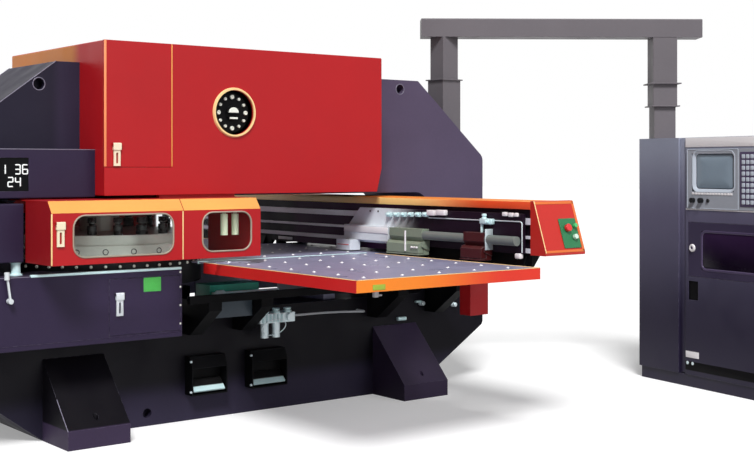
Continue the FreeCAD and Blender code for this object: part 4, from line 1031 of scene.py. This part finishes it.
@dataclass
class BeamDress:
    """Strip along the beam's top plate with a painted sheen, and painted highlights on the borders and edges of
    the slanted end caps.
    """

    left: float = 0.766
    right: float = 1.068
    face_foot: Pair = (-1.985, 0.992)
    face_head: Pair = (-1.892, 1.268)
    half_length: float = 1.869
    plate_floor: float = 1.222
    plate_top: float = 1.2625
    strip_width: float = 0.012
    bar: tuple[float, ...] = (0.002, 0.0022, 0.001)
    line: tuple[float, ...] = (0.0015, 0.0024, 0.001)

    def on_face(self, size: Pair, finish: tuple[float, ...], x: float, along: float | None = None) -> Surface:
        """A bar on the front cap's slanted face.

        Args:
            size: its width, and its height up the slope.
            finish: its corner radius, thickness and edge radius.
            x: where its middle goes along the beam's width.
            along: where its middle goes up the slope; halfway where it isn't given.

        Returns:
            The bar in its place.
        """
        (y0, z0), (y1, z1) = self.face_foot, self.face_head
        up = np.array([0, y1 - y0, z1 - z0]) / self.slope
        out = np.array([0, z0 - z1, y1 - y0]) / self.slope
        at = np.array([x, y0, z0]) + up * (self.slope / 2 if along is None else along)
        return slab(*size, *finish).placed(np.array([(1, 0, 0), up, out]), at)

    @property
    def slope(self) -> float:
        """Length of the slanted face, up its slope."""
        return math.dist(self.face_foot, self.face_head)

    def build(self, shop: Workshop) -> None:
        """Make the strip, the highlight borders and edge lines of both caps, and the tag in front."""
        width, middle = self.right - self.left - 0.002, (self.left + self.right) / 2
        shop.add("beam_top_strip", block((self.left, -self.half_length, self.plate_floor),
                                         (self.left + self.strip_width, self.half_length, self.plate_top), 0.0015),
                 "beam_strip", "beam_carriage")
        # Painted highlights along the caps' borders and left edges.
        border = joined(self.on_face((0.016, self.slope - 0.004), self.bar, self.right - 0.009),
                        self.on_face((width, 0.014), self.bar, middle, 0.008),
                        self.on_face((width, 0.016), self.bar, middle, self.slope - 0.012))
        shop.add("cap_border_highlights", border.both_sides(), "cap_highlight_orange", "beam_carriage")
        edge = self.on_face((0.006, self.slope - 0.002), self.line, self.left + 0.003)
        shop.add("cap_edge_highlights", edge.both_sides(), "cream_trim_and_highlight", "beam_carriage")
        tag = slab(0.17, 0.020, 0.003, 0.003, 0.0012).laid(Facing.LEFT, (0.780, 0.49, 0.9655))
        shop.add("beam_tag", tag, "header_white", "beam_carriage")


@dataclass
class CarriageFittings:
    """Valves, unions, pipes and marks that the sheet carriage carries on its plate and clamps."""

    plate: float = 0.745
    block_face: float = 0.700
    jaw_face: float = 0.668
    valves: int = 6
    valve_span: Pair = (-1.04, -0.70)
    valve_level: float = 1.172
    valve_fall: float = 0.03
    boxes: tuple[Block, ...] = (((-0.03, -1.135, 1.168), (0.001, -1.072, 1.200), 0.004),
                                ((-0.03, -1.226, 1.172), (0.001, -1.152, 1.203), 0.004),
                                ((-0.016, -1.722, 1.183), (0.001, -1.688, 1.205), 0.004),
                                ((-0.016, -1.768, 1.180), (0.001, -1.736, 1.203), 0.004),
                                ((-0.016, -1.806, 1.182), (0.001, -1.780, 1.203), 0.004),
                                ((-0.018, -1.828, 0.957), (0.012, -1.788, 0.986), 0.006))
    end_plate: Block = ((0.688, -1.6035, 0.994), (0.744, -1.5975, 1.110), 0.002)
    groove: Block = ((0.6385, -0.418, 0.966), (0.642, -0.302, 0.971), 0.001)
    pipe_radius: float = 0.0035
    bend_radius: float = 0.015

    def valve_row(self) -> Surface:
        """Small valve blocks along the upper part of the plate, each with its union."""
        y = np.linspace(*self.valve_span, self.valves)
        z = self.valve_level - self.valve_fall * (y - self.valve_span[0])
        valve = joined(block((-0.016, -0.022, -0.014), (0, 0.022, 0.014), 0.003),
                       union(VALVE_NUT, 0.010, 0.018).laid(Facing.LEFT, (-0.016, 0, 0.002)))
        return valve.repeated(np.stack([np.full(self.valves, self.plate), y, z], -1))

    def cluster(self) -> Surface:
        """The larger valve beside the second clamp, with its unions and the stub below it."""
        x = self.plate
        return joined(block((x - 0.03, -1.618, 1.134), (x + 0.001, -1.522, 1.166), 0.006),
                      union(VALVE_NUT, 0.015, 0.03).moved((x - 0.015, -1.548, 1.162)),
                      union(VALVE_NUT, 0.012, 0.024).laid(Facing.LEFT, (x - 0.028, -1.59, 1.15)),
                      tube([(x - 0.012, -1.527, z) for z in (1.088, 1.10, 1.12, 1.14)], 0.009, 12))

    def pipes(self) -> Surface:
        """Thin pipes: one along the plate, and one that runs out, turns down and ends at its foot."""
        x, turn, r = self.plate - 0.004, np.linspace(0, math.pi / 2, 5), self.bend_radius
        along = [(x, y, 1.154) for y in np.linspace(-1.06, -1.53, 6)]
        bend = np.stack([np.full(5, x), -1.817 - r * np.sin(turn), 1.141 + r * np.cos(turn)], -1)
        outer = np.vstack([[(x, -1.60, 1.156), (x, -1.70, 1.156)], bend,
                           [(x, -1.832, 1.06), (x, -1.832, 0.99)]])
        return joined(tube(along, self.pipe_radius, 8), tube(outer, self.pipe_radius, 8))

    def marks(self) -> Surface:
        """Four dark screws in the face of the front block, and two in the plate above it."""
        screw = lathe([(0, -0.001), (0.0065, -0.001), (0.0065, 0.001), (0.005, 0.0022), (0, 0.0024)], 12)
        low = [(self.block_face, y, 1.062) for y in (-0.325, -0.440, -0.556, -0.672)]
        high = [(self.plate, y, 1.178) for y in (-0.50, -0.58)]
        return screw.laid(Facing.LEFT).repeated(low + high)

    def build(self, shop: Workshop) -> None:
        """Make the fittings, and the rod and studs on the first jaw."""
        face, jaw = self.block_face, self.jaw_face
        scale = block((face - 0.003, -0.731, 1.046), (face + 0.002, -0.291, 1.084), 0.0015)
        for name, surface, finish in (
                ("carriage_valves", self.valve_row(), "pale_cyan"),
                ("carriage_boxes", blocks(self.boxes, (self.plate, 0, 0)), "header_white"),
                ("carriage_cluster", self.cluster(), "pale_cyan"),
                ("carriage_pipes", self.pipes(), "satin_alloy"),
                ("carriage_marks", self.marks(), "black_plastic"),
                ("clamp_end_plate", block(*self.end_plate), "satin_alloy"),
                ("carriage_scale", scale, "header_white"),
                ("end_block_groove", block(*self.groove), "red_button")):
            shop.add(name, surface, finish, "sheet_carriage")
        rod = tube([(jaw - 0.0035, -0.94, z) for z in (0.957, 0.99, 1.03, 1.076)], 0.0055, 10)
        shop.add("clamp_rod", rod, "header_white", "jaw_1")
        studs = union(VALVE_NUT, 0.006, 0.010).laid(Facing.LEFT)
        shop.add("clamp_studs", studs.repeated([(jaw, y, 0.982) for y in (-1.045, -1.022, -0.999)]),
                 "header_white", "jaw_1")


@dataclass
class ServiceFittings:
    """What is bolted on under the tables: drive rod, couplings, switches and the regulator's dress."""

    face: float = -0.319
    rod_level: Pair = (-0.567, 0.742)
    loop_middle: Point = (0.058, -0.462, 0.508)
    loop_reach: Point = (0.082, 0.030, -0.050)
    clips: tuple[Pair, ...] = ((1.42, 0.590), (1.50, 0.600), (1.30, 0.555), (1.42, 0.522), (1.58, 0.528))
    pads: tuple[Block, ...] = (((1.505, -0.024, 0.558), (1.60, 0, 0.578), 0.005),
                               ((1.25, -0.024, 0.560), (1.30, 0, 0.574), 0.005),
                               ((1.095, -0.03, 0.455), (1.165, 0, 0.478), 0.006))
    switch: tuple[Block, ...] = (((0.678, -0.632, 0.655), (0.712, -0.604, 0.7005), 0.006),
                                 ((0.712, -0.626, 0.660), (0.742, -0.612, 0.672), 0.004))

    def drive_rod(self) -> Surface:
        """The bright rod that runs out of the motor, thickest at its coupling."""
        coupling = lathe([(0, 0), (0.014, 0), (0.018, 0.01), (0.018, 0.05), (0.012, 0.06), (0, 0.06)], 16)
        axes = np.array([(0, 1, 0), (0, 0, 1), (1, 0, 0)])
        return joined(tube([(x, *self.rod_level) for x in (-0.42, -0.30, -0.15, 0.02)], 0.0085, 12),
                      coupling.placed(axes, (-0.40, *self.rod_level)))

    def loop(self) -> Surface:
        """A pipe looped round the regulator's bowls.

        Formula: point(u) = middle + reach * (cos u, sin u, sin u), closed after one turn.
        """
        u = np.linspace(0, 2 * math.pi, 33)
        ring = np.stack([np.cos(u), np.sin(u), np.sin(u)], -1) * self.loop_reach
        return tube(ring + self.loop_middle, 0.0032, 8)

    def build(self, shop: Workshop) -> None:
        """Make the rod, the switches and unions, and the regulator's dress."""
        clip = union(COUPLING, 0.016, 0.04).laid(Facing.FRONT)
        cap, fin = union(COUPLING, 0.026, 0.03), block((-0.006, -0.004, -0.024), (0.006, 0.002, 0.024), 0.002)
        pin = union(COUPLING, 0.007, 0.012).laid(Facing.LEFT)
        for name, surface, finish in (
                ("drive_rod", self.drive_rod(), "pale_cyan"),
                ("column_unions", clip.repeated([(x, self.face, z) for x, z in self.clips]),
                 "satin_alloy"),
                ("column_blocks", blocks(self.pads, (0, self.face, 0)), "pale_cyan"),
                ("rail_switch", blocks(self.switch), "header_white"),
                ("regulator_loop", self.loop(), "satin_alloy"),
                ("regulator_caps", cap.repeated([(x, -0.42, 0.585) for x in (0.02, 0.10, 0.18)]), "pale_cyan"),
                ("regulator_fins", fin.repeated([(x, -0.446, 0.558) for x in np.linspace(-0.005, 0.125, 6)]),
                 "pale_cyan"),
                ("hood_pins", pin.repeated([(x, -0.398, z) for x in (-0.4545, -0.0535) for z in (0.172, 0.345)]),
                 "satin_alloy")):
            shop.add(name, surface, finish)


@dataclass
class FrameHighlights:
    """Painted highlights: light lines on the frame's, box's, cabinet's and toes' edges, and light rims round the
    lifting holes.
    """

    half: float = 0.320
    chamfer: tuple[Point, Point] = ((-1.236, -0.320, 2.0148), (-1.8465, -0.320, 1.5597))
    shelf: Block = ((-1.849, -0.5115, 1.5385), (-1.102, -0.508, 1.5435), 0.0015)
    foot: Block = ((-1.849, -0.6215, 0.8965), (-1.50, -0.6185, 0.9005), 0.0012)
    holes: tuple[Pair, ...] = ((-1.330, 1.890), (1.130, 1.955))
    hole_radius: float = 0.030
    toe_left: float = -1.3095
    toe_slope: tuple[Pair, ...] = ((0.6395, 0.0985), (0.500, 0.2442))

    def build(self, shop: Workshop) -> None:
        """Make the highlight lines on the edges and the toes, and the highlight rims round the holes."""
        edge = tube(np.linspace(*np.array(self.chamfer), 4), 0.0028, 8)
        shop.add("frame_edge_highlights", joined(edge.both_sides(), block(*self.shelf), block(*self.foot)),
                 "lilac_highlight")
        slope = np.array([(self.toe_left, -y, z) for y, z in self.toe_slope])
        shop.add("toe_edge_highlights", tube(np.linspace(*slope, 3), 0.0024, 8).both_sides(), "lilac_highlight")
        r = self.hole_radius
        ring = lathe([(r, -0.004), (r + 0.0015, 0.001), (r + 0.004, 0.0015), (r + 0.006, 0.0),
                      (r + 0.006, -0.004)], 28)
        rings = [ring.laid(Facing.FRONT, (x, -self.half, z)).both_sides() for x, z in self.holes]
        shop.add("lifting_hole_highlights", joined(*rings), "lilac_highlight")


@dataclass
class CabinetDress:
    """Painted highlights on the cabinet's top edge and the table's edge; line, screws and bare plate of the
    cabinet; and the post's sleeve.
    """

    front: float = -0.620
    top: float = 0.900
    left: float = -1.850
    right: float = -0.642
    table_edge: Block = ((-0.519, -0.5775, 0.914), (0.66, -0.570, 0.9285), 0.002)
    post: Point = (-1.532, -0.505, 0.0)
    screws: tuple[Point, ...] = tuple((-0.652, -0.620, z) for z in (0.60, 0.70, 0.80, 0.88))

    def build(self, shop: Workshop) -> None:
        """Make the painted edge highlights, the sleeve, the line, the bare green plate and the screws."""
        # Pale lines on the cabinet's top edge and the centre table's edge: painted highlights.
        edge = block((-1.500, self.front - 0.003, self.top - 0.006),
                     (self.right - 0.002, self.front + 0.020, self.top + 0.008), 0.004)
        shop.add("cabinet_top_highlight", edge, "pale_cyan")
        shop.add("centre_table_highlight", block(*self.table_edge), "pale_cyan")
        sleeve = lathe([(0.0205, 0.8995), (0.034, 0.8995), (0.034, 0.9075), (0.0245, 0.910), (0.0235, 0.962),
                        (0.030, 0.9645), (0.030, 0.9685), (0.0205, 0.9685)], 28)
        shop.add("post_sleeve", sleeve.moved(self.post), "pale_cyan")
        lower = block((self.left + 0.004, self.front - 0.0015, 0.5545),
                      (self.right - 0.002, self.front + 0.003, 0.5585), 0.0012)
        shop.add("cabinet_lower_line", lower, "violet_enamel")
        plate = slab(0.103, 0.076, 0.003, 0.002, 0.001).laid(Facing.FRONT, (-0.822, self.front, 0.8225))
        shop.add("cabinet_plate", plate, "bright_green", "cabinet_door")
        screw = lathe([(0, -0.001), (0.006, -0.001), (0.006, 0.001), (0.0045, 0.0025), (0.002, 0.003),
                       (0, 0.0031)], 10)
        shop.add("cabinet_screws", screw.laid(Facing.FRONT).repeated(self.screws), "lit_steel")


@dataclass
class ReadoutDisplay:
    """White digits on the black readout."""

    face: float = -0.506
    digit_height: float = 0.046
    digit_width: float = 0.026
    stroke: float = 0.0065
    pitch: float = 1.5
    lit: tuple[tuple[str, str], ...] = (("1", "bc"), ("2", "abged"), ("3", "abgcd"), ("4", "fgbc"),
                                        ("6", "afgedc"))
    rows: tuple[tuple[str, float, float], ...] = (("1 36", -1.60, 1.438), ("24", -1.56, 1.374))

    def segments(self, character: str) -> list[tuple[float, float, float, float]]:
        """Middle and size of each lit segment of a seven-segment digit."""
        w, h, s = self.digit_width, self.digit_height, self.stroke
        places = {"a": (0, h / 2, w, s), "g": (0, 0, w, s), "d": (0, -h / 2, w, s),
                  "f": (-w / 2, h / 4, s, h / 2), "b": (w / 2, h / 4, s, h / 2),
                  "e": (-w / 2, -h / 4, s, h / 2), "c": (w / 2, -h / 4, s, h / 2)}
        return [places[k] for k in dict(self.lit).get(character, "")]

    def build(self, shop: Workshop) -> None:
        """Make the digits of each row."""
        parts = [slab(w, h, self.stroke * 0.4, 0.0012, 0.0005).laid(
                     Facing.FRONT, (x + i * self.digit_width * self.pitch + dx, self.face, z + dz))
                 for text, x, z in self.rows for i, character in enumerate(text)
                 for dx, dz, w, h in self.segments(character)]
        shop.add("readout_digits", joined(*parts), "digit_white")


@dataclass
class ConsoleDress:
    """Screen, lock, keys and plates of the control console, and a painted shadow band at its foot."""

    corner: Point = (2.774, -0.927, 0.0)
    turn: float = math.radians(-8.5)
    screen_at: Pair = (0.7025, 1.4215)
    screen_size: Point = (0.322, 0.218, 0.022)
    swell: float = 0.010
    keypad_at: Pair = (1.092, 1.3725)
    glass_at: Pair = (0.865, 0.906)

    def on_front(self, surface: Surface, along: float, height: float, out: float = 0.0) -> Surface:
        """Lay a flat detail on the console's front.

        Args:
            surface: the detail, with its own x along the front, y up and z out of it.
            along: how far from the front's left corner its middle goes.
            height: how high its middle goes.
            out: how far in front of the face its own zero goes.

        Returns:
            The detail in its place.
        """
        axes = np.array([(math.sin(self.turn), -math.cos(self.turn), 0), (0, 0, 1),
                         (-math.cos(self.turn), -math.sin(self.turn), 0)])
        return surface.placed(axes, np.array(self.corner) + axes[0] * along + axes[1] * height + axes[2] * out)

    def screen(self) -> Surface:
        """The tube's face: a rounded rectangle that swells towards its middle.

        Formula: rings of the outline drawn in to nothing by t, at height swell * (1 - t^4).
        """
        loop, _ = rounded_loop(*self.screen_size)
        t = np.linspace(1, 0, 8)
        flat = loop[None] * np.concatenate([[1], t])[:, None, None]
        heights = np.concatenate([[-0.004], self.swell * (1 - t ** 4)])
        return grid(lifted(flat, heights[:, None]), close_v=True, caps=True)

    def keys(self, across: int, down: int, pitch: Pair, size: Pair) -> Surface:
        """A field of small keys about the origin, each a slab with a rounded edge."""
        x, y = [(np.arange(count) - (count - 1) / 2) * step for count, step in zip((across, down), pitch)]
        return slab(*size, min(size) * 0.2, 0.004, 0.0015).repeated(spots_over(x, y))

    def build(self, shop: Workshop) -> None:
        """Make the monitor, the door's dress, the grip, joint strip and foot plates, and the painted shadow band
        at the foot.
        """
        bevel = rim(*self.screen_size, [(-0.004, -0.022), (0.020, 0.0005), (0.026, 0.0025), (0.029, 0.0005),
                                        (0.029, -0.002), (0.0, -0.024)])
        fascia = rim(0.446, 0.380, 0.004, [(-0.001, -0.001), (-0.001, 0.002), (0.005, 0.002), (0.005, -0.001)])
        plug = lathe([(0, -0.001), (0.013, -0.001), (0.013, 0.006), (0.010, 0.009), (0, 0.009)], 18)
        door = rim(0.530, 0.232, 0.030, [(-0.004, -0.012), (0.0, -0.003), (0.004, 0.0005), (0.014, 0.0005),
                                         (0.021, -0.0075), (0.020, -0.012)])
        lock = lathe([(0, -0.002), (0.026, -0.002), (0.026, 0.006), (0.022, 0.011), (0.013, 0.012),
                      (0.012, 0.006), (0, 0.006)], 24)
        core = lathe([(0, 0), (0.0095, 0), (0.0095, 0.004), (0.007, 0.006), (0, 0.006)], 16)
        stud = lathe([(0, -0.001), (0.011, -0.001), (0.011, 0.003), (0.007, 0.006), (0, 0.0065)], 14)
        studs = stud.repeated([(0, 0, 0), (0.047, 0, 0)])
        # A row is name, surface, (along, height, out), finish and, on the door, its body.
        for name, surface, at, *worn in (
                ("console_screen", self.screen(), (*self.screen_at, -0.0138), "screen_glass"),
                ("console_screen_bevel", bevel, self.screen_at, "bezel_light"),
                ("console_soft_keys", self.keys(14, 1, (0.026, 0.02), (0.021, 0.014)), (0.690, 1.276, -0.001),
                 "header_white"),
                ("console_fascia_edge", fascia, (0.6925, 1.3725), "bezel_light"),
                ("console_plug", plug, (0.657, 1.232), "black_plastic"),
                ("console_keypad", slab(0.315, 0.345, 0.006, 0.004, 0.0015), (*self.keypad_at, -0.0005),
                 "keypad_purple"),
                ("console_keys", self.keys(8, 9, (0.036, 0.036), (0.026, 0.026)), (*self.keypad_at, 0.0025),
                 "bezel_light"),
                ("console_lower_line", slab(0.832, 0.010, 0.002, 0.004, 0.0015), (0.866, 1.1725, -0.007),
                 "header_white"),
                ("console_header", slab(0.852, 0.062, 0.004, 0.004, 0.0015), (0.872, 1.6105, -0.007),
                 "header_white"),
                ("console_door_glass", slab(0.548, 0.250, 0.034, 0.009, 0.002), (*self.glass_at, -0.0175),
                 "panel_glass", "console_door"),
                ("console_door_rim", door, (*self.glass_at, -0.004), "keypad_purple", "console_door"),
                ("console_lock", lock, (0.511, 0.918, -0.006), "header_white", "console_door"),
                ("console_lock_core", core, (0.513, 0.920), "keypad_purple", "console_door"),
                ("console_grip_back", slab(0.089, 0.124, 0.004, 0.004, 0.001), (0.515, 0.6375, -0.016),
                 "grip_black"),
                ("console_joint_strip", slab(0.056, 1.555, 0.003, 0.010, 0.002), (0.415, 0.863, -0.0265),
                 "console_enamel_painted_reflection"),
                ("console_foot_plate", slab(0.120, 0.042, 0.003, 0.0025, 0.001), (0.508, 0.215, -0.0065),
                 "header_white"),
                ("console_foot_studs", studs, (0.465, 0.158, -0.006), "satin_alloy"),
                # A black band at the console's foot: a painted shadow in the gap above the plinth.
                ("console_shadow_band", slab(0.850, 0.058, 0.002, 0.002, 0.001), (0.871, 0.140, -0.0065),
                 "grip_black")):
            shop.add(name, self.on_front(surface, *at), *worn)


@dataclass
class Studio:
    """Pale floor, soft lights and the camera at the photograph's angle."""

    eye: Point = (-4.0, -6.62, 1.45)
    heading: float = 38.1
    focal_pixels: float = 1250.0
    picture: tuple[int, int] = (754, 464)
    horizon_row: float = 167.0
    sensor_width: float = 36.0
    reach: float = 200.0
    sky: float = 0.14
    floor_half: float = 60.0
    floor_tones: Pair = (0.5, 0.8)
    floor_lift: float = 0.30

    def build(self) -> None:
        """Make the camera, the floor, the world and the lamps."""
        self.camera()
        self.floor()
        self.world()
        self.lamp("key", 3.3, 16, (42, 0, -38))
        self.lamp("fill", 0.9, 40, (66, 0, 12))
        bpy.context.scene.view_settings.view_transform = "Standard"

    def camera(self) -> None:
        """A level camera whose focal length and shift put the horizon on the photograph's row."""
        data = bpy.data.cameras.new("photo_view")
        data.sensor_width = self.sensor_width
        data.lens = self.focal_pixels / self.picture[0] * self.sensor_width
        data.shift_y = (self.horizon_row - self.picture[1] / 2) / self.picture[0]
        data.clip_end = self.reach
        camera = bpy.data.objects.new("photo_view", data)
        camera.location = self.eye
        camera.rotation_euler = (math.radians(90), 0, -math.radians(self.heading))
        bpy.context.scene.collection.objects.link(camera)
        bpy.context.scene.camera = camera

    def floor(self) -> None:
        """A wide pale floor, seen paler than what it throws back and lifted towards white."""
        mesh, half = bpy.data.meshes.new("floor"), self.floor_half
        mesh.from_pydata([(-half, -half, 0), (half, -half, 0), (half, half, 0), (-half, half, 0)], [],
                         [(0, 1, 2, 3)])
        floor = bpy.data.objects.new("floor", mesh)
        bpy.context.scene.collection.objects.link(floor)
        material = bpy.data.materials.new("floor")
        material.use_nodes = True
        wire = Wiring(material.node_tree)
        seen = self.seen_directly(wire)
        shader = material.node_tree.nodes["Principled BSDF"]
        for label, value in (("Roughness", 0.9), ("Specular IOR Level", 0.1),
                             ("Base Color", wire.spread(seen, 0.0, 1.0, *self.floor_tones))):
            wire.put(shader.inputs[label], value)
        glow = wire.node("Emission", {"Strength": wire.calc("MULTIPLY", seen, self.floor_lift)})
        both = wire.node("AddShader", {0: shader.outputs[0], 1: glow.outputs[0]})
        wire.put(material.node_tree.nodes["Material Output"].inputs["Surface"], both.outputs[0])
        mesh.materials.append(material)

    @staticmethod
    def seen_directly(wire: Wiring) -> bpy.types.NodeSocket:
        """1 for what the camera sees itself, in a reflection or through glass, and 0 otherwise."""
        path = wire.node("LightPath", {}).outputs
        mirrored = wire.calc("MAXIMUM", path["Is Camera Ray"], path["Is Glossy Ray"])
        return wire.calc("MAXIMUM", mirrored, path["Is Transmission Ray"])

    def world(self) -> None:
        """Even soft light from all round, with a white background where it is seen."""
        world = bpy.data.worlds.new("studio")
        bpy.context.scene.world = world
        world.use_nodes = True
        wire, background = Wiring(world.node_tree), world.node_tree.nodes["Background"]
        background.inputs["Color"].default_value = (1, 1, 1, 1)
        strength = wire.spread(self.seen_directly(wire), 0.0, 1.0, self.sky, 1.0)
        wire.put(background.inputs["Strength"], strength)

    @staticmethod
    def lamp(name: str, strength: float, softness: float, turn: Point) -> None:
        """A distant lamp: its strength, its width in degrees and how it is turned, in degrees."""
        data = bpy.data.lights.new(name, "SUN")
        data.energy = strength
        data.angle = math.radians(softness)
        lamp = bpy.data.objects.new(name, data)
        lamp.rotation_euler = tuple(math.radians(a) for a in turn)
        bpy.context.scene.collection.objects.link(lamp)


def main() -> None:
    """Dress the nodes, build every sub-assembly and set the studio round them."""
    logging.basicConfig(level=logging.INFO, format="%(name)s %(message)s")
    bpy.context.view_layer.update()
    shop = Workshop()
    shop.dress_nodes()
    for assembly in (HeadHighlights(), ClutchDial(), WindowRims(), GuardHighlights(), TurretTooling(), DieRing(),
                     BallTransfers(), TableEdge(), BeamDress(), CarriageFittings(), ServiceFittings(),
                     FrameHighlights(), CabinetDress(), ReadoutDisplay(), ConsoleDress()):
        assembly.build(shop)
    Studio().build()
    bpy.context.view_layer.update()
    log.info("made %d pieces", shop.count)


if __name__ == "__main__":
    main()
